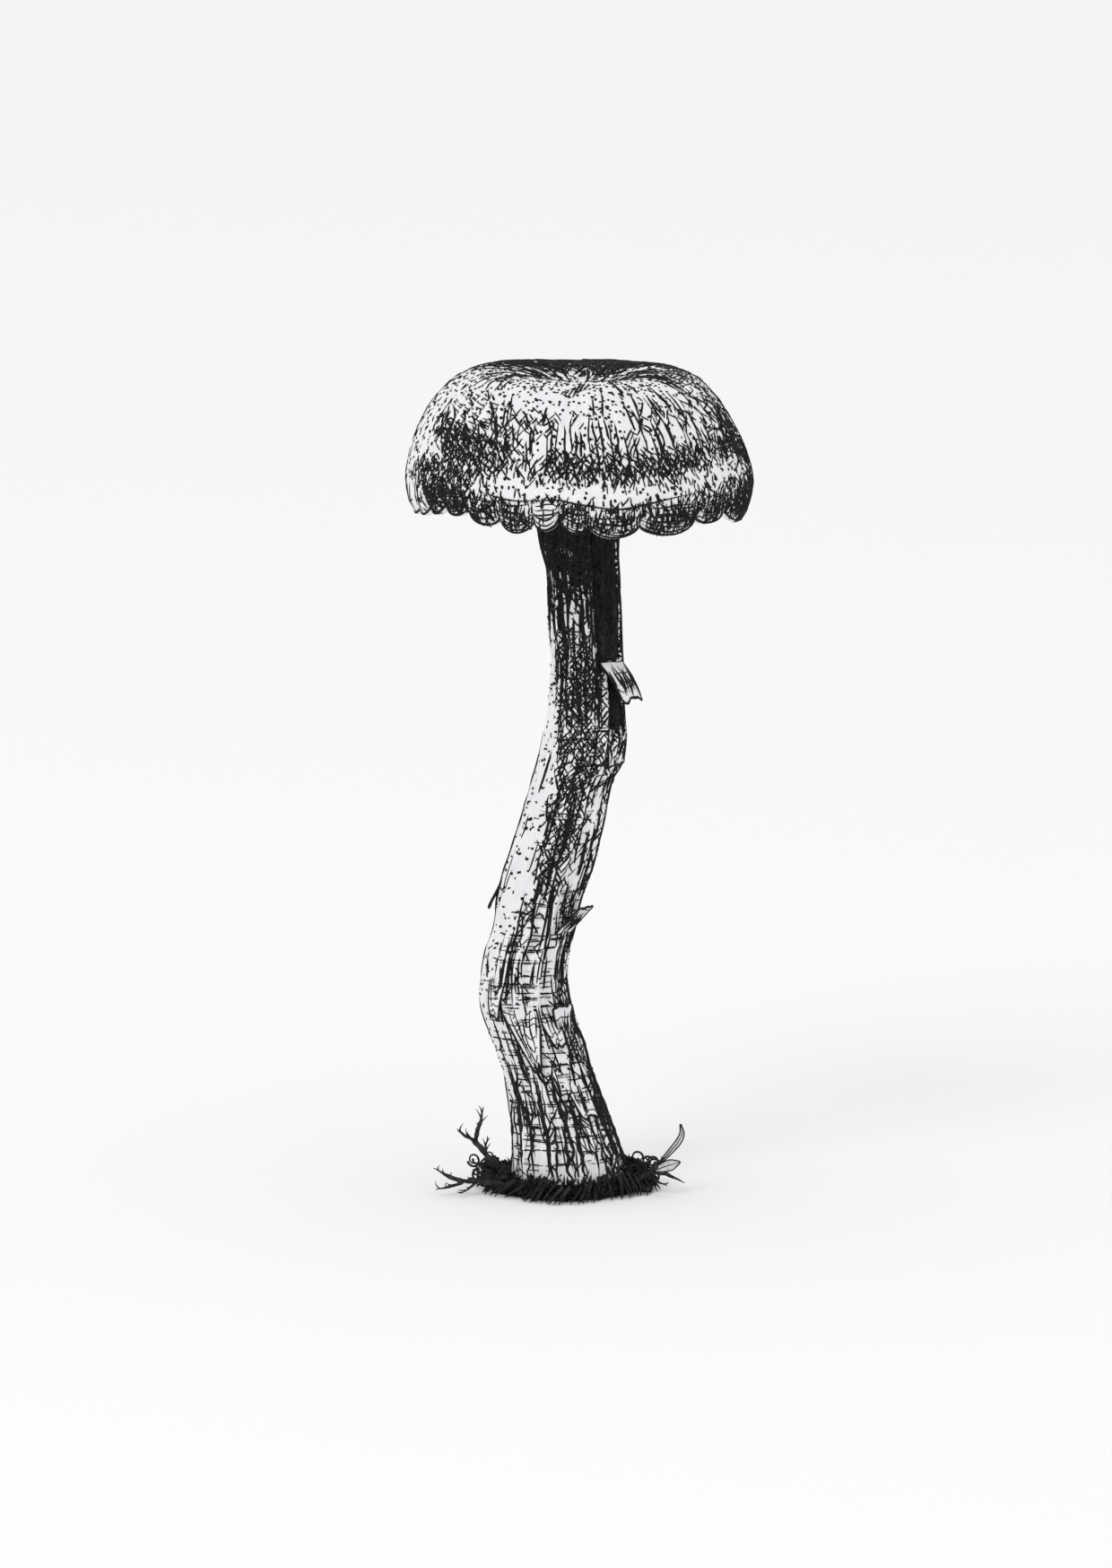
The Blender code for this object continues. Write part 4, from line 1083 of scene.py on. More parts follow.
def lay_fibrils(skin, reach, widest, layers):
    """Layers of fibrils on a skin: name, load, (length, width), the gaps (along, across) of the grid
    that they are strewn over, in mm, seed, and what is special to the layer. The grid limits how
    many there can be."""
    for name, load, (length, width), (along, across), seed, special in layers:
        inputs = {
            "Skin": skin, "Load": load, "Seed": seed, "Widest": widest, "Reach": reach,
            "Columns": round(widest / (across * MM)), "Rows": round(reach / (along * MM)),
            "Length": length * MM, "Width": width * MM,
            "Most": FIBRIL_FILL * length * width / (along * across),
        }  # fmt: skip
        belongs(grown(name, FIBRILS, USUAL_FIBRIL | inputs | special), "mushroom")


STEM_CROSSED = {"Lean Spread": 0.07, "Bend": 40.0, "Strew Along": 0.25, "Strew Across": 0.25}
STEM_LAYERS = (
    ("stem_cracks", "cracks", (9.0, 0.3), (5.0, 0.95), 20,
     {"Waver": 0.42 * MM, "Waver Length": 2.2 * MM, "Bend": 5.0, "Lean Spread": 0.04}),
    ("stem_fibres", "long", (4.4, 0.21), (1.5, 0.5), 21,
     {"Waver": 0.2 * MM, "Waver Length": 1.6 * MM, "Lean Spread": 0.07}),
    ("stem_cross_fibres_22", "cross", (1.9, 0.2), (1.0, 0.74), 22, STEM_CROSSED | {"Lean": CROSSING}),
    ("stem_cross_fibres_25", "cross", (1.9, 0.2), (1.0, 0.74), 25, STEM_CROSSED | {"Lean": -CROSSING}),
    ("stem_rings", "rings", (4.2, 0.14), (1.3, 1.3), 23,
     {"Lean": ACROSS, "Lean Spread": 0.06, "Bend": 12.0, "Strew Along": 0.3}),
    ("stem_specks", "specks", (0.36, 0.27), (0.55, 0.6), 24,
     {"Fibril": SPECK_SHAPE, "Lean Spread": 1.0, "Waver": 0.0}),
)  # fmt: skip
lay_fibrils(stem, stem_reach, STEM_WIDEST, STEM_LAYERS)

# Longer fibres down the two sides: (height, half thickness on the left, on the right). Each has
# knots (amount, length) and wanders (degrees, length).
SIDE_LINE = (
    (2, 0.14, 0.16), (10, 0.12, 0.2), (18, 0.1, 0.18), (25, 0.12, 0.06), (30, 0.14, 0.16), (34, 0.13, 0.2),
    (40, 0.14, 0.13), (46, 0.13, 0.12), (52, 0.14, 0.16), (60, 0.15, 0.12), (74, 0.16, 0.12),
)  # fmt: skip
SIDE_POINTS = 110
SIDE_KNOTS = (0.35, 1.3)
SIDE_WANDER = (5, 3.1)
LONG_FIBRE_SIDES = 6


def line_key(way, number):
    """Places for uneven() along one line, apart from those of other numbers."""
    return np.stack([way, 0 * way + number, 0 * way], axis=-1)


def on_bark(degrees, height):
    """Places on the stem's skin with its ridges and torn places, in metres."""
    return stem_surface(degrees, height, stem_relief(degrees, height) - torn_and_shade_share(degrees, height)[0])


side_height = np.linspace(SIDE_LINE[0][0], SIDE_LINE[-1][0], SIDE_POINTS)
side_ink = []
for angle, column in ((180, 1), (0, 2)):
    key = line_key(side_height, angle)
    thick = at_way([(row[0], row[column]) for row in SIDE_LINE], side_height)
    thick = thick * (1 + SIDE_KNOTS[0] * uneven(key, SIDE_KNOTS[1]))
    wander = angle + SIDE_WANDER[0] * uneven(key, SIDE_WANDER[1])
    side_ink.append((on_bark(wander, side_height), thick * MM))
belongs(strands("stem_side_fibres", side_ink, fibril_black, LONG_FIBRE_SIDES), "mushroom")

# The coarsest fibres, long and crooked, from the foot to the knee of the stem. They start evenly
# round it, a golden turn apart, and wander (degrees, length).
COARSE_FIBRES = 96
COARSE_TURN = 360 * 0.381966
COARSE_STRAYS = (-4, 4)
COARSE_LOW = (-13.0, 13.0)
COARSE_LONG = (5.0, 14.0)
COARSE_ENDS = (1.3, 21.0)
COARSE_THICK = (0.09, 0.21)
COARSE_THINNEST = 0.02
COARSE_KNOTS = (0.5, 0.9)
COARSE_WANDER = ((9, 4.0), (4, 1.2))
COARSE_POINTS = 22
COARSE_APART = 9
chance = random.Random(500)
coarse_ink = []
for number in range(COARSE_FIBRES):
    angle = number * COARSE_TURN + chance.uniform(*COARSE_STRAYS)
    low = max(chance.uniform(*COARSE_LOW), COARSE_ENDS[0])
    high = min(low + chance.uniform(*COARSE_LONG), COARSE_ENDS[1])
    height = np.linspace(low, high, COARSE_POINTS)
    key = line_key(height, COARSE_APART * number)
    wander = angle + STEM_TWIST * (height - low)
    for amount, length in COARSE_WANDER:
        wander = wander + amount * uneven(key, length)
    thick = chance.uniform(*COARSE_THICK) * (1 - np.abs(np.linspace(-1, 1, COARSE_POINTS)) ** 3)
    thick = np.maximum(thick * (1 + COARSE_KNOTS[0] * uneven(key, COARSE_KNOTS[1])), COARSE_THINNEST)
    # No coarse fibres lie on the lit bare strip, which keeps its painted highlight.
    edge = at_way(BARE_LIT_STRIP, np.mean(height))
    if (angle - BARE_BACK) % 360 > (edge - BARE_BACK) % 360:
        coarse_ink.append((on_bark(wander, height), thick * MM))
belongs(strands("stem_coarse_fibres", coarse_ink, fibril_black, LONG_FIBRE_SIDES), "mushroom")


# Torn strips: ribbons of stem skin that split off and curl away while the stem stretched and bent.
# Each is rooted in the stem, thins to a ragged tip, and is pale with dark fibres outside; its inside,
# facing the stem, is painted black as shade.
# (root height, angle, width, length, way up or down, lean, curl, taper, fibres), lean and curl in
# degrees.
STRIPS = (
    (60.3, -35, 4.4, 5.4, -1, 46, -30, 0.15, 10), (36.8, 182, 1.0, 5.2, -1, 12, 6, 0.6, 3),
    (28.8, -38, 3.2, 4.8, 1, 32, 8, 0.3, 8), (16.6, -41, 1.5, 4.9, 1, 14, 5, -1.5, 7),
    (23.5, -97, 6.2, 9.8, -1, 6, 2, 0.9, 5), (22.5, -60, 3.6, 6.2, -1, 7, 3, 0.6, 3),
    (26, -132, 2.8, 6.6, -1, 7, 3, 0.6, 3), (13, -50, 3.2, 4.6, -1, 8, 3, 0.3, 4),
    (52.9, -24, 5.0, 4.8, -1, 6, 4, 0.12, 8), (67, 84, 2.2, 6.5, -1, 9, 5, 0.5, 3),
    (55, 130, 3.6, 6.0, -1, 8, 8, 0.4, 4), (44, 62, 3.4, 7.5, -1, 7, 4, 0.75, 3),
    (31.5, 112, 2.6, 5.0, 1, 12, 6, 0.4, 3), (25.5, 66, 4.6, 7.5, -1, 7, 3, 0.85, 4),
    (15, 128, 3.2, 5.2, -1, 9, 4, 0.5, 3),
)  # fmt: skip
STRIP_THICK = 0.34
STRIP_SINK = 0.5
STRIP_ROWS = 16
STRIP_COLUMNS = 11
STRIP_THINS = 0.55
STRIP_CUP = 0.5
# The ragged tip: how much shorter it may be, how closely the rags follow across it, how strips
# differ, and the spread of the unevenness that makes them.
TIP_RAGGED, TIP_CLOSE, TIPS_APART, TIP_SPREAD = 0.1, 5.0, 0.37, (-0.5, 0.6)
# Shares of its length at which a strip reaches its full thickness, and starts to lose it.
STRIP_FULL, STRIP_TIP = (0.0, 0.03), (0.97, 1.0)
# Fibres that edge a strip: half thickness, and the share of its length from which they start.
EDGE_INK, EDGE_FROM, EDGE_POINTS, TIP_POINTS = 0.125, 0.06, 15, 13
# Short fibres across it: one for so many mm, where they start and end, how they sag.
TIE_EVERY, TIE_INK, TIE_POINTS, TIE_SAG, TIE_BENDS = 1.15, 0.07, 9, 0.03, 5
TIE_STARTS, TIE_ENDS, TIE_STRAYS = (-0.5, -0.2), (0.2, 0.5), (0.3, 1.0)
# Long fibres along it: where they start and end, how they stray and bend, and how thick they are,
# fuller where a strip has many.
GRAIN_STARTS, GRAIN_ENDS, GRAIN_STRAYS = (0.08, 0.35), (0.6, 0.97), (-0.05, 0.05)
GRAIN_BENDS, GRAIN_SWING, GRAIN_POINTS = (8, 16), 0.03, 13
GRAIN_THINNEST, GRAIN_FULL_FEW, GRAIN_FULL_MANY, GRAIN_MANY = 0.03, 0.115, 0.16, 8
STRIP_FIBRE_SIDES = 5


def strip_surface(strip, side, share, out=0.0):
    """Places on a strip: side from -0.5 to 0.5, share of its length from 0 to 1, out in mm."""
    root, angle, width, length, way, lean, curl, taper, _ = strip
    lean, curl = math.radians(lean), math.radians(curl)
    key = np.broadcast_arrays(side * TIP_CLOSE, 0.0 * share, TIPS_APART * root + 0.0 * share)
    key = np.stack(key, axis=-1)
    share = share * (1 - TIP_RAGGED * smooth(*TIP_SPREAD, uneven(key, 1.0)))
    far = length * (math.cos(lean) - np.cos(lean + curl * share)) / curl - STRIP_SINK + out
    run = length * (np.sin(lean + curl * share) - math.sin(lean)) / curl
    height = root + way * run
    stem_radius = stem_stations(height)[..., 2] / 2
    turn = side * width * (1 - taper * share) / (stem_radius + np.maximum(far, 0.0))
    return stem_surface(angle + np.degrees(turn), height, far)


def strip_thick(share):
    """A strip's thickness along its length, in mm."""
    return STRIP_THICK * (1 - STRIP_THINS * share)


def strip_cup(side, share):
    """How far a strip's two edges cup outwards, in mm."""
    return STRIP_CUP * (2 * side) ** 2 * share * STRIP_THICK


def strip_skin(name, strip):
    """A strip as a closed skin, with a value "inner" that marks the face towards the stem."""
    across = np.linspace(-0.5, 0.5, STRIP_COLUMNS)
    side = np.concatenate([across, across[-2:0:-1]])
    face = np.concatenate([np.ones(STRIP_COLUMNS), -np.ones(STRIP_COLUMNS - 2)])
    face[[0, STRIP_COLUMNS - 1]] = 0.0
    side, share = np.meshgrid(side, np.linspace(0, 1, STRIP_ROWS))
    thick = strip_thick(share) * (1 - smooth(*STRIP_TIP, share)) * smooth(*STRIP_FULL, share)
    points = strip_surface(strip, side, share, face * thick / 2 + strip_cup(side, share))
    values = {"inner": (np.broadcast_to(face, side.shape) < 0).astype(float)}
    return closed_skin(name, points, np.linspace(0, 1, side.shape[1] + 1), share[:, 0], values)


# The face towards the stem is painted black: painted shade between strip and stem.
strip_flesh = flesh("strip_flesh", STRIP_GRAIN, "inner")
strip_ink = []
for number, strip in enumerate(STRIPS):
    dressed(strip_skin(f"strip_{number}", strip), strip_flesh, "mushroom")
    share = np.linspace(EDGE_FROM, 1.0, EDGE_POINTS)
    for side in (-0.5, 0.5):
        strip_ink.append((strip_surface(strip, side, share, strip_cup(side, share)), EDGE_INK * MM))
    side = np.linspace(-0.5, 0.5, TIP_POINTS)
    strip_ink.append((strip_surface(strip, side, 1.0 + 0 * side, strip_cup(side, 1.0)), EDGE_INK * MM))
    chance = random.Random(100 + number)
    length, fibres = strip[3], strip[-1]
    ties = round(length / TIE_EVERY)
    for i in range(ties):
        share = (i + chance.uniform(*TIE_STRAYS)) / ties
        across = np.linspace(chance.uniform(*TIE_STARTS), chance.uniform(*TIE_ENDS), TIE_POINTS)
        out = strip_thick(share) / 2 + strip_cup(across, share)
        level = np.clip(share + TIE_SAG * np.sin(across * TIE_BENDS + i), 0.0, 1.0)
        strip_ink.append((strip_surface(strip, across, level, out), TIE_INK * MM))
    for i in range(fibres):
        side = (i + 1) / (fibres + 1) - 0.5
        start, end = chance.uniform(*GRAIN_STARTS), chance.uniform(*GRAIN_ENDS)
        share = np.linspace(start, end, GRAIN_POINTS)
        wander = side + chance.uniform(*GRAIN_STRAYS)
        wander = wander + GRAIN_SWING * np.sin(share * chance.uniform(*GRAIN_BENDS) + i)
        fullest = GRAIN_FULL_MANY if fibres >= GRAIN_MANY else GRAIN_FULL_FEW
        middle = (start + end) / 2
        thick = np.interp(share, (start, middle, end), (GRAIN_THINNEST, fullest, GRAIN_THINNEST))
        out = strip_thick(share) / 2 + strip_cup(side, share)
        strip_ink.append((strip_surface(strip, wander, share, out), thick * MM))
belongs(strands("strip_fibres", strip_ink, fibril_black, STRIP_FIBRE_SIDES), "mushroom")


# Gills: thin, widely spaced blades under the cap, grown out of its flesh. Long ones run from the margin
# to the stem and shorter ones stand between them; their edges are pale, and the depths between them
# are painted near black as shade.
CAP_HEIGHT = 76.4
CAP_TILT = math.radians(0.8)
CAP_MIDDLE_X = -0.05
# Blades as (radius, height of the edge, height of the root in the flesh), in mm.
LONG_GILL = (
    (3.2, 9.6, 9.8), (3.6, 7.6, 12.3), (6.0, 5.0, 12.3), (9.5, 2.9, 12.0), (13.0, 2.1, 10.9),
    (15.5, 1.9, 9.2), (17.1, 2.0, 6.6), (17.8, 3.4, 3.6),
)  # fmt: skip
MIDDLE_GILL = (
    (10.4, 10.0, 10.2), (10.7, 7.0, 11.9), (12.3, 3.6, 11.2), (14.5, 2.3, 10.2), (17.0, 2.2, 6.6),
    (17.8, 3.4, 3.6),
)  # fmt: skip
SHORT_GILL = (
    (13.9, 8.4, 8.6), (14.1, 6.4, 10.4), (15.0, 4.0, 9.8), (16.2, 2.8, 8.2), (17.2, 2.5, 6.4),
    (17.8, 3.4, 3.6),
)  # fmt: skip
GILL_THICK = 0.4
GILL_STEPS = 5
# A blade is thinner where it is less deep than this, in mm.
GILL_DEEP = 2
GILL_STRAYS = 0.12
GILL_WAVER = 0.55 * MM
# Grain (fineness, detail), how far it frays the painted shade between the blades, the depths over
# which that shade sets in, the greys of the edge and of the painted shade in the depth, and the relief.
GILL_ROUGHNESS = 0.55
GILL_GRAIN = (1400.0, 3.0)
GILL_SHADE_FRAY = 0.5
GILL_SHADE_DEPTHS, GILL_SHADE_GREYS = (0.05, 0.42), (0.72, 0.012)
GILL_RELIEF = (0.4, 0.1 * MM)
# Across a blade, from its root down one side, round its edge and up: (share of its depth, half
# thickness).
GILL_SECTION = (
    (0.0, 0.9), (0.3, 0.75), (0.6, 0.55), (0.85, 0.38), (0.97, 0.22), (1.0, 0.0),
    (0.97, -0.22), (0.85, -0.38), (0.6, -0.55), (0.3, -0.75), (0.0, -0.9),
)  # fmt: skip
LONG_GILLS = 23
GILL_SETS = (
    ("gills_long", LONG_GILL, LONG_GILLS, 0.0, 31), ("gills_middle", MIDDLE_GILL, LONG_GILLS, 0.5, 32),
    ("gills_short", SHORT_GILL, 2 * LONG_GILLS, 0.5, 33),
)  # fmt: skip


def on_stem(points):
    """Places of the cap's own frame, in mm, put on top of the stem, in metres."""
    points = np.asarray(points, float)
    x = points[..., 0] * math.cos(CAP_TILT) + points[..., 2] * math.sin(CAP_TILT) + CAP_MIDDLE_X
    z = points[..., 2] * math.cos(CAP_TILT) - points[..., 0] * math.sin(CAP_TILT) + CAP_HEIGHT
    return np.stack([x, points[..., 1], z], axis=-1) * MM


GILL_INPUTS = {
    "Blade": "Object", "Count": "Int", "First": "Float", "Waver": "Float", "Seed": "Int",
    "Finish": "Material",
}  # fmt: skip


def gill_tree():
    """A ring of blades, each a little turned and wavering its own way."""
    tree, given = new_tree("grow_gills", GILL_INPUTS)
    blade = node(tree, "GeometryNodeObjectInfo", {"Object": given["Blade"]})["Geometry"]
    ring = node(tree, "GeometryNodePoints", {"Count": given["Count"]})[0]
    place = calc(tree, "ADD", node(tree, "GeometryNodeInputIndex")[0], given["First"])
    place = calc(tree, "ADD", place, drawn_number(tree, -GILL_STRAYS, GILL_STRAYS, given["Seed"], 1))
    turn = calc(tree, "DIVIDE", calc(tree, "MULTIPLY", place, math.tau), given["Count"])
    inputs = {"Points": ring, "Instance": blade, "Rotation": about_up(tree, turn)}
    blades = node(tree, "GeometryNodeInstanceOnPoints", inputs)[0]
    real = node(tree, "GeometryNodeRealizeInstances", {"Geometry": blades})[0]
    inputs = {"Geometry": real, "Offset": drift_of(tree, given["Waver"])}
    return finish_tree(tree, node(tree, "GeometryNodeSetPosition", inputs)[0], given["Finish"])


def gill_blade(name, outline):
    """One blade along +X, in metres, with a value "depth" that is 0 at its edge and 1 at its root."""
    run = through(outline, GILL_STEPS)
    section = np.array(GILL_SECTION)
    depth = 1 - section[:, 0]
    thick = GILL_THICK * section[:, 1] * np.minimum(1.0, (run[:, 2:] - run[:, 1:2]) / GILL_DEEP)
    height = run[:, 1:2] + (run[:, 2:] - run[:, 1:2]) * depth
    points = np.stack([np.broadcast_to(run[:, :1], height.shape), -thick, height], axis=-1)
    points[[0, -1]] = points[[0, -1]].mean(axis=1)[:, None]
    around = np.linspace(0, 1, len(section) + 1)
    values = {"depth": np.broadcast_to(depth, height.shape)}
    return closed_skin(name, points * MM, around, np.linspace(0, 1, len(run)), values)


# The gill material: pale at the edge, with painted shade that darkens to near black towards the root.
gill_pale, tree, shader = finish("gill_pale", FLESH_SHADED, GILL_ROUGHNESS)
grain = grain_of(tree, *GILL_GRAIN)
depth = node(tree, "ShaderNodeAttribute", attribute_name="depth")["Fac"]
paint_grey(tree, shader, swung(tree, depth, grain, GILL_SHADE_FRAY), GILL_SHADE_DEPTHS, GILL_SHADE_GREYS)
roughen(tree, shader, grain, *GILL_RELIEF)
GILLS = gill_tree()
for name, outline, count, first, seed in GILL_SETS:
    blade = in_scene("blade", gill_blade("blade", outline))
    inputs = {"Blade": blade, "Count": count, "First": first, "Waver": GILL_WAVER, "Seed": seed}
    gills = grown(name, GILLS, inputs | {"Finish": gill_pale})
    bpy.data.objects.remove(blade)
    places = np.array([corner.co for corner in gills.data.vertices]) / MM
    gills.data.vertices.foreach_set("co", on_stem(places).ravel())
    gills.data.shade_smooth()
    belongs(gills, "mushroom")


# Cap: one fleshy piece, sunken in the middle, pleated, with a shallow groove above its rolled rim and
# a scalloped margin. It grew on the stem; its pale skin carries radial dark fibrils and small scales.
# (radius, height) from the navel over the top to the margin, and back up through the flesh.
CAP_SKIN = (
    (0, 13.7), (3.2, 14.6), (6.4, 15.7), (9.7, 16.0), (13.3, 15.4), (16.1, 13.3),
    (17.85, 10.6), (18.8, 7.6), (19.25, 4.4), (18.9, 1.6), (17.9, 0),
)  # fmt: skip
CAP_FLESH = ((17.0, 0.5), (17.5, 3.0), (17.0, 6.3), (15.0, 9.2), (11.5, 11.2), (6.0, 12.0), (0.0, 12.0))
CAP_STEPS = 7
# Angles where one lobe of the margin meets the next, and where each lobe gets a column of the skin.
LOBE_CUSPS = np.array((
    -178, -165, -155, -145, -133, -119, -106, -97, -87, -68.5, -44.5, -28, -2, 13, 31, 45, 62, 81, 94, 113,
    129, 146, 165, 182,
))  # fmt: skip
LOBE_PHASES = np.array((0.0, 0.015, 0.05, 0.11, 0.2, 0.31, 0.43, 0.57, 0.69, 0.8, 0.89, 0.95, 0.985))
LOBE_ROUNDNESS = 0.45
LOBE_BULGE = 0.55
LOBE_BULGE_FROM = 0.6
LOBE_DROP = 1.5
LOBE_REACH = 4.6
MARGIN_SWINGS = ((-140, 20, 1.4), (-98, 9, 0.8), (-34, 11, 0.9), (70, 20, 1.1), (135, 24, 0.9))
SWING_REACH = 8.5
GROOVE_DEPTH = 0.55
GROOVE_HEIGHT = 7.3
GROOVE_WIDTH = 2.3
GROOVE_CLIMBS = ((-158, 24, 6.0), (-28, 18, 2.2), (40, 24, 3.0), (118, 26, 3.5))
# The far crest dips and the shoulders slope: (angle, spread, amount), and the radii and heights
# between which that sets in.
BACK_DIP, DIP_OUT, DIP_UP = ((90, 36, 0.5),), (5.0, 9.0), (12.0, 15.5)
SHOULDERS, SHOULDERS_OUT, SHOULDERS_UP = ((8, 48, 1.3), (180, 40, 0.5)), (9.5, 13.5), (3.0, 13.0)
# Soft lumps all over but the navel: height, how closely they follow, the navel's edge.
CAP_LUMP, CAP_LUMP_CLOSE, NAVEL_EDGE = 0.16, 0.16, (0.0, 3.0)
# How steeply what lies on the skin is raised from it: out at this radius, and always up.
RAISED_OUT, RAISED_UP = 20, 0.5
# Pleats run down the side from below the crest to above the groove, and drift: (amount, closeness
# round, length down).
PLEATS = 58
PLEAT_DEPTH = 0.13
PLEATS_FROM, PLEATS_TO = (5.0, 7.5), (14.6, 15.9)
PLEAT_DRIFT, PLEAT_ROUND, PLEAT_LENGTH = 2.2, 2.2, 9


def cap_surface(degrees, radius, height, out=0.0):
    """Places on the cap, from its turned section (radius, height in mm) to its real shape."""
    degrees, radius, height, out = np.broadcast_arrays(np.asarray(degrees, float), radius, height, out)
    turned = (degrees - LOBE_CUSPS[0]) % 360 + LOBE_CUSPS[0]
    phase = np.interp(turned, LOBE_CUSPS, np.arange(len(LOBE_CUSPS))) % 1
    lobe = np.sin(math.pi * phase) ** LOBE_ROUNDNESS
    near_rim = 1 - smooth(0.0, LOBE_REACH, height)
    groove_height = GROOVE_HEIGHT + spread_sum(GROOVE_CLIMBS, degrees)
    groove = np.exp(-(((height - groove_height) / GROOVE_WIDTH) ** 2)) * np.sin(np.radians(degrees)) ** 2
    swing = spread_sum(MARGIN_SWINGS, degrees) * (1 - smooth(0.0, SWING_REACH, height))
    slope = spread_sum(SHOULDERS, degrees) * smooth(*SHOULDERS_OUT, radius) * smooth(*SHOULDERS_UP, height)
    dip = spread_sum(BACK_DIP, degrees) * smooth(*DIP_OUT, radius) * smooth(*DIP_UP, height)
    wide = radius + near_rim * LOBE_BULGE * (lobe - LOBE_BULGE_FROM) - GROOVE_DEPTH * groove - slope
    tall = height + near_rim * LOBE_DROP * (1 - lobe) + swing - dip
    ways = directions(degrees)
    place = ways * (wide * (radius > 0.01))[..., None]
    place[..., 2] = tall
    soft = CAP_LUMP * uneven(place * CAP_LUMP_CLOSE, 1.0) * smooth(*NAVEL_EDGE, radius)
    raised = ways * (wide / RAISED_OUT)[..., None] + (0, 0, RAISED_UP)
    return on_stem(place + raised * (out + soft)[..., None])


section = through((*CAP_SKIN, *CAP_FLESH), CAP_STEPS)
section[:, 0] = np.maximum(section[:, 0], 0.0)
steps = np.linalg.norm(np.diff(section, axis=0), axis=1)
from_navel = np.concatenate([[0.0], np.cumsum(steps)])
cap_reach = from_navel[-1] * MM
MARGIN_AT = from_navel[(len(CAP_SKIN) - 1) * CAP_STEPS]
cap_rows = from_navel[::-1]
lobe_places = (np.arange(len(LOBE_CUSPS) - 1)[:, None] + LOBE_PHASES).ravel()
cap_columns = np.interp(np.append(lobe_places, len(LOBE_CUSPS) - 1), np.arange(len(LOBE_CUSPS)), LOBE_CUSPS)
cap_angle, cap_down = np.meshgrid(cap_columns[:-1], cap_rows)
cap_radius, cap_height = (np.broadcast_to(part[::-1, None], cap_angle.shape) for part in section.T)
on_top = smooth(*PLEATS_FROM, cap_height) * (1 - smooth(*PLEATS_TO, cap_height)) * (cap_down < MARGIN_AT)
drift = uneven(directions(cap_angle) * PLEAT_ROUND + upright(cap_down / PLEAT_LENGTH), 1.0)
pleat = PLEAT_DEPTH * on_top * np.cos(np.radians(PLEATS * cap_angle) + PLEAT_DRIFT * drift)
cap_points = cap_surface(cap_angle, cap_radius, cap_height, pleat)
cap_points[[0, -1]] = cap_points[[0, -1]].mean(axis=1)[:, None]

# Share of the skin that fibrils cover: (way from the navel, share), then spots (way, reach, angle,
# spread, share). The groove carries the bands of ink up or down with it. The cover is dense in the
# groove and on the lobes below the rim, as painted shade, and thin on the rolled rim between them, as
# a painted highlight; spots darken the right shoulder as painted shade and lighten the lit left edge.
CAP_COVER = (
    (0, 0.2), (3, 0.26), (5, 0.26), (8.6, 0.24), (9.8, 0.28), (11.5, 0.26), (13.5, 0.19), (15.4, 0.17),
    (16.3, 0.42), (19, 0.45), (20.6, 0.47), (22, 0.64), (23.8, 0.72), (24.6, 0.52), (25.1, 0.14),
    (26.7, 0.12), (27.4, 0.42), (28.4, 0.64), (30.6, 0.7), (33, 0.6), (36, 0.3), (38, 0.1),
)  # fmt: skip
CAP_SPOTS = (
    (11.4, 1.6, 88, 54, 0.35), (9.5, 1.8, 164, 20, 0.2), (2.6, 1.4, 90, 60, 0.2), (9.5, 1.8, 10, 16, 0.15),
    (15, 4.5, -8, 24, -0.12), (12.5, 2.5, -112, 16, -0.1), (19.5, 4, -142, 9, 0.24),
    (19.5, 3, -125, 8, 0.22), (26, 4, -138, 8, 0.78), (26.5, 3.6, -148, 5, 0.5),
    (17.5, 5.5, -168, 13, -0.5), (27, 6, -172, 12, -0.4), (25, 2.0, -126, 7, 0.25),
    (27.9, 0.8, -60, 9, 0.3), (18.2, 2.0, -142, 10, -0.44), (15.9, 1.3, -132, 20, -0.16),
    (18.0, 1.4, -108, 11, 0.3), (21.3, 0.9, -120, 7, 0.35),
    (23.6, 1.0, -90, 5, 0.3), (20.5, 1.2, -42, 10, -0.2), (18.2, 1.2, -29, 8, -0.15),
    (24.9, 1.8, -178, 9, -0.4), (18.5, 1.2, -65, 5, 0.2), (25.9, 0.9, -67, 7, -0.15),
    (23.6, 1.0, -54, 7, 0.18), (12.3, 1.2, -152, 14, 0.22), (17, 2.8, -35, 16, 0.2), (14, 3, -26, 14, 0.05),
    (18.5, 3, -4, 7, 0.1), (23, 3, -12, 9, 0.15), (27, 4, -8, 11, 0.45), (23, 2.5, -112, 8, -0.25),
    (24.8, 1.1, -74, 22, 0.34), (26, 1.2, -60, 22, 0.12), (27.2, 1.6, -42, 8, 0.34),
    (28.5, 1.2, -76, 12, 0.1), (27.4, 1.0, -114, 9, 0.35), (27.4, 0.9, -101, 6, 0.15), (20, 4, 60, 22, 0.2),
    (24, 5, 140, 20, 0.25), (20, 5, 100, 14, -0.1), (27, 3, 35, 12, 0.2),
)  # fmt: skip
# How the groove carries the cover: its share, and the ways between which that starts and ends.
CARRIED, CARRIED_FROM, CARRIED_TO = 0.55, (15.0, 18.5), (26.2, 27.6)
# How raggedly the bands of cover run: (amount, closeness round).
BAND_RAGGED = (0.7, 6)
# The back wall of the crater, whose shade dense fibrils paint: the ways where it starts and ends,
# middle angle, half turn, and the share that fibrils cover there.
CRATER_FROM, CRATER_TO = (2.6, 5.4), (10.2, 11.0)
CRATER_MIDDLE, CRATER_HALF_TURN, CRATER_SHADE_COVER = 86, 66, 0.86
LEAST_COVER, LEAST_ON_LOBES, MOST_COVER = 0.06, 0.02, 0.95
# Share of the skin under small dots, by the way from the navel; where fibrils cover much, fewer.
CAP_DOTS = (
    (0, 0.08), (2, 0.2), (8, 0.17), (12, 0.17), (14, 0.14), (16, 0.13), (22, 0.13), (24.4, 0.08),
    (25.4, 0.1), (27.4, 0.06),
)  # fmt: skip
DOTS_GIVE_WAY, DOTS_GIVEN_UP = (0.35, 0.6), 0.6
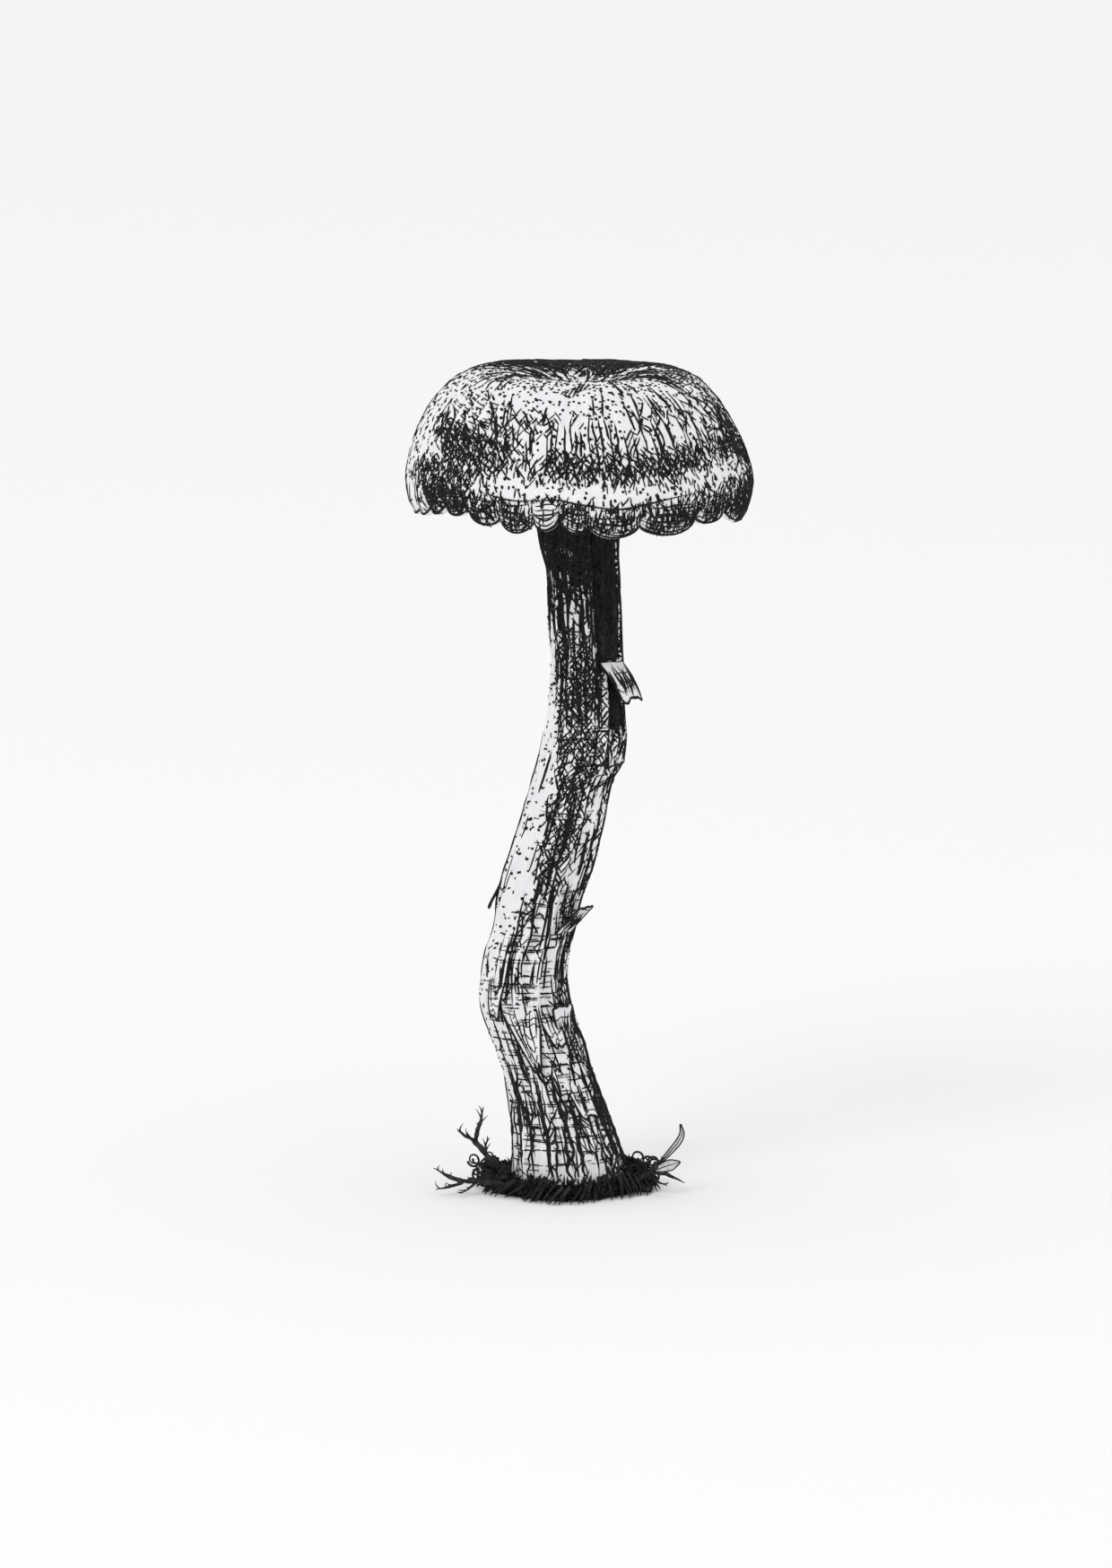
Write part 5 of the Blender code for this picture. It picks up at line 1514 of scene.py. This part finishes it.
# How each lobe is marked, from the left round the front: (arcs, uprights, share of the cover it
# keeps, which sets its painted shade); the rest are drawn by chance between these limits.
LOBE_MARKS = (
    (1, 2, 0.1), (1, 3, 0.3), (2, 5, 1.1), (2, 5, 1.1), (3, 5, 0.8), (5, 4, 0.85), (6, 1, 0.2), (4, 5, 0.9),
    (4, 9, 0.7), (5, 9, 0.75), (1, 9, 0.75), (1, 6, 1.1),
)  # fmt: skip
FAR_ARCS, FAR_UPRIGHTS, FAR_SHARE = (2, 5), (2, 7), (0.1, 0.7)
LOBE_TOP = 27.6
LOBES_FROM = (27.2, 28.2)
NAVEL_BARE = (1.0, 2.2)
MARGIN_BARE = 0.3
# How far the strokes turn from straight down the cap: (way, reach, angle, spread, radians).
CAP_SWEEP = ((17, 5, -140, 18, 0.9), (20, 5, -55, 25, 0.22), (20, 7, -14, 12, 1.25), (11, 3, 60, 30, 0.5))
# Long fibrils end above the roll, and take this much of the load at most.
ROLL_FROM, LONG_MOST, LONG_FULLER = (21.8, 22.6), 0.36, 1.15
# Crossed fibrils take half of what is over a least load; all short ones give way on the lobes,
# where others and arcs take their part.
CROSSES_OVER, CROSSES_MOST, CROSSES_PART = 0.42, 0.8, 0.5
LOBES_SPARED, LOBE_PART, ARC_PART = 0.5, 0.4, 0.25
# Arcs also cross the right shoulder's strokes as painted shade; close fibrils fill up what the others
# leave.
ARC_SHADE_SPOTS = ((18.5, 5, -19, 13, 0.34),)
CLOSE_UNDER, CLOSE_LEAST = 0.1, 0.02
carried = smooth(*CARRIED_FROM, cap_down) * (1 - smooth(*CARRIED_TO, cap_down))
cap_place = cap_down + CARRIED * spread_sum(GROOVE_CLIMBS, cap_angle) * carried
cap_place = cap_place + BAND_RAGGED[0] * uneven(directions(cap_angle) * BAND_RAGGED[1], 1.0)
cover = at_way(CAP_COVER, cap_place) + spots(CAP_SPOTS, cap_down, cap_angle)
crater_shade = smooth(*CRATER_FROM, cap_down) * (1 - smooth(*CRATER_TO, cap_down))
crater_shade = crater_shade * round_patch(CRATER_MIDDLE, CRATER_HALF_TURN, cap_angle)
cover = np.clip(cover + (CRATER_SHADE_COVER - cover) * crater_shade, LEAST_COVER, MOST_COVER)
chance = random.Random(7)
lobe_marks = [*LOBE_MARKS]
while len(lobe_marks) < len(LOBE_CUSPS) - 1:
    arcs, uprights = chance.randint(*FAR_ARCS), chance.randint(*FAR_UPRIGHTS)
    lobe_marks.append((arcs, uprights, chance.uniform(*FAR_SHARE)))
lobe_shade_share = np.repeat([share for _, _, share in lobe_marks], len(LOBE_PHASES))
on_lobes = smooth(*LOBES_FROM, cap_down)
cover = np.clip(cover * (1 - on_lobes * (1 - lobe_shade_share)), LEAST_ON_LOBES, MOST_COVER)
on_skin = smooth(*NAVEL_BARE, cap_down) * (cap_down < MARGIN_AT - MARGIN_BARE)
specks = at_way(CAP_DOTS, cap_down) * (1 - DOTS_GIVEN_UP * smooth(*DOTS_GIVE_WAY, cover))
specks = specks * on_skin * (1 - on_lobes)
cap_load = np.maximum(-np.log(1 - cover) - specks, 0.0) * on_skin
spared = 1 - LOBES_SPARED * on_lobes
cap_long = np.minimum(LONG_FULLER * cap_load, LONG_MOST) * (1 - smooth(*ROLL_FROM, cap_place))
cap_cross = np.clip(cap_load - CROSSES_OVER, 0.0, CROSSES_MOST) * CROSSES_PART * spared
cap_close = np.maximum(cap_load - cap_long - 2 * cap_cross - CLOSE_UNDER, 0.0) + CLOSE_LEAST
cap_values = {
    "girth": np.maximum(cap_radius, 0.01) * math.tau * MM,
    "sweep": spots(CAP_SWEEP, cap_down, cap_angle),
    "long": cap_long,
    "cross": cap_cross,
    "lobes": on_lobes * cap_load * LOBE_PART,
    "arcs": on_lobes * cap_load * ARC_PART + spots(ARC_SHADE_SPOTS, cap_down, cap_angle),
    "close": cap_close * spared * on_skin,
    "specks": specks,
}
cap_turns = (cap_columns - LOBE_CUSPS[0]) / 360
cap_mesh = closed_skin("cap_skin", cap_points, cap_turns, 1 - cap_rows / cap_rows[0], cap_values)
cap = dressed(cap_mesh, flesh("cap_flesh", CAP_GRAIN), "mushroom")
CAP_WIDEST = 19.25 * math.tau * MM
CAP_CROSSED = {"Lean Spread": 0.16, "Bend": 60.0, "Strew Along": 0.4, "Strew Across": 0.4}
CAP_LAYERS = (
    ("cap_fibres", "long", (4.4, 0.27), (4.0, 0.72), 41,
     {"Lean Spread": 0.06, "Bend": 14.0, "Strew Across": 0.3, "Waver": 0.34 * MM,
      "Waver Length": 1.3 * MM}),
    ("cap_cross_fibres_42", "cross", (1.6, 0.2), (0.85, 0.6), 42, CAP_CROSSED | {"Lean": CROSSING}),
    ("cap_cross_fibres_43", "cross", (1.6, 0.2), (0.85, 0.6), 43, CAP_CROSSED | {"Lean": -CROSSING}),
    ("cap_close_fibres", "close", (0.95, 0.19), (0.5, 0.42), 46, {"Lean Spread": 0.35}),
    ("cap_lobe_fibres", "lobes", (1.7, 0.2), (0.9, 0.55), 47,
     {"Lean Spread": 0.1, "Strew Across": 0.4, "Bend": 60.0}),
    ("cap_arcs", "arcs", (2.1, 0.17), (0.5, 1.2), 44,
     {"Lean": ACROSS, "Lean Spread": 0.07, "Bend": 20.0, "Strew Along": 0.25, "Waver": 0.06 * MM}),
    ("cap_specks", "specks", (0.4, 0.29), (0.56, 0.56), 45,
     {"Fibril": SPECK_SHAPE, "Lean Spread": 0.8, "Waver": 0.0}),
)  # fmt: skip
lay_fibrils(cap, cap_reach, CAP_WIDEST, CAP_LAYERS)
for template in (FIBRIL_SHAPE, SPECK_SHAPE):
    bpy.data.objects.remove(template)

# Longer fibres that edge the margin, its creases and the turn of the cap. They lie a little out
# from the skin, and their ends are thinner by a share. Along the margin: (radius, height, half
# thickness), and its knots (amount, length).
MARGIN_LINE = (18.1, 0.12, 0.14)
MARGIN_KNOTS = (0.35, 1.5)
INK_OUT, MARGIN_OUT, END_THINS = 0.02, 0.05, 0.75
# Down a crease between two lobes: (radius, height, half thickness).
CREASE = ((18.1, 0.1, 0.2), (18.7, 1.0, 0.18), (19.1, 2.4, 0.12), (19.25, 4.2, 0.03))
CREASE_STEPS = 4
# (angle, way from the navel, half thickness) of the fold under the roll.
UNDER_ROLL = (
    (-124, 26.9, 0.02), (-116, 27.2, 0.1), (-106, 27.3, 0.06), (-98, 27.3, 0.1), (-90, 27.5, 0.12),
    (-80, 27.8, 0.09), (-72, 27.7, 0.13), (-64, 27.2, 0.1), (-56, 26.8, 0.06), (-46, 26.6, 0.02),
)  # fmt: skip
UNDER_ROLL_STEPS = 5
# Arcs across a lobe: where each starts and ends across it, the place in its step down the lobe, and
# how it bends (amount, least, most). Uprights down a lobe: their place, top, foot and bend.
ARC_STARTS, ARC_ENDS, ARC_PLACE, ARC_BEND = (0.03, 0.2), (0.8, 0.97), (0.3, 0.8), (0.12, 5, 9)
UPRIGHT_PLACE, UPRIGHT_TOP, UPRIGHT_FOOT, UPRIGHT_BEND = (0.75, 1.25), (-0.2, 0.9), (0.2, 1.2), (0.02, 7)
MARK_THICK, MARK_POINTS = (0.08, 0.12), 13
# Fibres that slant over both shoulders, hatching painted shade there, and a few short ones at the
# front: (from angle, way, to angle, way, half thickness). They sag and waver (amount, closeness).
SLANTED = (
    *((-158 + 2 * (i % 3), 14.4 + 0.62 * i, -119 - 2 * (i % 4), 16.5 + 0.66 * i, 0.07 + 0.002 * i)
      for i in range(11)),
    *((44 - 3 * (i % 3), 9.9 + 0.75 * i, -30 - 3 * (i % 2), 9.9 + 0.8 * i, 0.1) for i in range(6)),
    (-90, 9.8, -94, 14.6, 0.15), (-87.5, 9.8, -92, 13.8, 0.15), (-85, 10.2, -89, 12.8, 0.12),
    (-93, 11.4, -96, 14.2, 0.11), (-96, 12.6, -98, 14.0, 0.09),
)  # fmt: skip
SLANTED_POINTS, SLANTED_SAG, SLANTED_WAVER = 15, 0.25, (0.1, 11)
# Turn of the cap, where its outline lies: (way from the navel, half thickness on the left, on the
# right). Short fibres follow one another along it, and stray in way, angle and thickness.
TURN_LINE = (
    (11, 0.2, 0.22), (13, 0.13, 0.25), (16, 0.04, 0.26), (18, 0.07, 0.22), (24, 0.08, 0.15),
    (29, 0.09, 0.18), (31, 0.1, 0.2),
)  # fmt: skip
TURN_EVERY = 1.1
TURN_LONG = (1.3, 3.0)
TURN_RADIUS = 14
TURN_STEPS, TURN_POINTS = 4000, 9
TURN_STRAYS, TURN_SWAYS, TURN_FULLER = (-0.12, 0.12), (-1.0, 1.0), (0.75, 1.15)


def tapered(count, thick):
    """Half thicknesses in metres along a fibre that thins at both ends."""
    return thick * MM * (1 - END_THINS * np.abs(np.linspace(-1, 1, count)) ** 3)


def section_at(way):
    """Radius and height of the cap's turned section at a way from its navel."""
    return np.interp(way, from_navel, section[:, 0]), np.interp(way, from_navel, section[:, 1])


def cap_fibre(degrees, way, thick):
    """Adds a long fibre to the cap's skin, along angles and ways from its navel."""
    cap_ink.append((cap_surface(degrees, *section_at(way), INK_OUT), thick))


cap_ink = []
lobes = list(zip(LOBE_CUSPS[:-1], LOBE_CUSPS[1:]))
crease = through(CREASE, CREASE_STEPS)
for start, end in lobes:
    angle = start + (end - start) * np.append(LOBE_PHASES, 1.0)
    radius, height, thick = MARGIN_LINE
    outline = cap_surface(angle, radius, height, MARGIN_OUT)
    fuller = 1 + MARGIN_KNOTS[0] * uneven(outline, MARGIN_KNOTS[1] * MM)
    cap_ink.append((outline, thick * fuller * MM))
    line = cap_surface(start + 0 * crease[:, 0], crease[:, 0], crease[:, 1], INK_OUT)
    cap_ink.append((line, crease[:, 2] * MM))
fold = through(UNDER_ROLL, UNDER_ROLL_STEPS)
cap_fibre(fold[:, 0], fold[:, 1], fold[:, 2] * MM)
share = np.linspace(0, 1, MARK_POINTS)
for lobe, (start, end) in enumerate(lobes):
    arcs, uprights, _ = lobe_marks[lobe]
    chance = random.Random(300 + lobe)
    for i in range(arcs):
        way = LOBE_TOP + (i + chance.uniform(*ARC_PLACE)) * (MARGIN_AT - MARGIN_BARE - LOBE_TOP) / arcs
        phase = chance.uniform(*ARC_STARTS) * (1 - share) + chance.uniform(*ARC_ENDS) * share
        way = way + ARC_BEND[0] * np.sin(phase * chance.uniform(*ARC_BEND[1:]) + i)
        cap_fibre(start + (end - start) * phase, way, tapered(MARK_POINTS, chance.uniform(*MARK_THICK)))
    for i in range(uprights):
        phase = (i + chance.uniform(*UPRIGHT_PLACE)) / (uprights + 1)
        phase = phase + UPRIGHT_BEND[0] * np.sin(share * UPRIGHT_BEND[1] + i)
        top, foot = LOBE_TOP + chance.uniform(*UPRIGHT_TOP), MARGIN_AT - chance.uniform(*UPRIGHT_FOOT)
        way = top + (foot - top) * share
        cap_fibre(start + (end - start) * phase, way, tapered(MARK_POINTS, chance.uniform(*MARK_THICK)))
share = np.linspace(0, 1, SLANTED_POINTS)
for start, way, end, last_way, thick in SLANTED:
    sag = SLANTED_SAG * np.sin(share * math.pi)
    sag = sag + SLANTED_WAVER[0] * np.sin(share * SLANTED_WAVER[1] + start)
    run = way + (last_way - way) * share + sag
    cap_fibre(start + (end - start) * share, run, tapered(SLANTED_POINTS, thick))

# The outline lies where the skin turns from the view, which is further back the less steep it is.
turn_way = np.linspace(TURN_LINE[0][0], TURN_LINE[-1][0], TURN_STEPS)
turn_radius, turn_height = section_at(turn_way)
outward, upward = -np.gradient(turn_height, turn_way), np.gradient(turn_radius, turn_way)
steep = upward / np.maximum(outward, 0.001) * math.tan(VIEW_RISE)
turn_back = np.degrees(np.arcsin(np.clip(steep, -1.0, 1.0)))
turn_run = np.hypot(np.gradient(turn_way), np.gradient(np.radians(turn_back)) * TURN_RADIUS)
turn_run = np.cumsum(turn_run * (steep < 1))
chance = random.Random(400)
for side, column in ((-1, 1), (1, 2)):
    turn_thick = [(row[0], row[column]) for row in TURN_LINE]
    for middle in np.arange(0, turn_run[-1], TURN_EVERY):
        half = chance.uniform(*TURN_LONG) / 2
        run = np.clip(np.linspace(middle - half, middle + half, TURN_POINTS), 0, turn_run[-1])
        way = np.interp(run, turn_run, turn_way) + chance.uniform(*TURN_STRAYS)
        back = np.interp(run, turn_run, turn_back) + chance.uniform(*TURN_SWAYS)
        thick = at_way(turn_thick, way[TURN_POINTS // 2]) * chance.uniform(*TURN_FULLER)
        cap_fibre(back if side > 0 else 180 - back, way, tapered(TURN_POINTS, thick))
belongs(strands("cap_edge_fibres", cap_ink, fibril_black, LONG_FIBRE_SIDES), "mushroom")
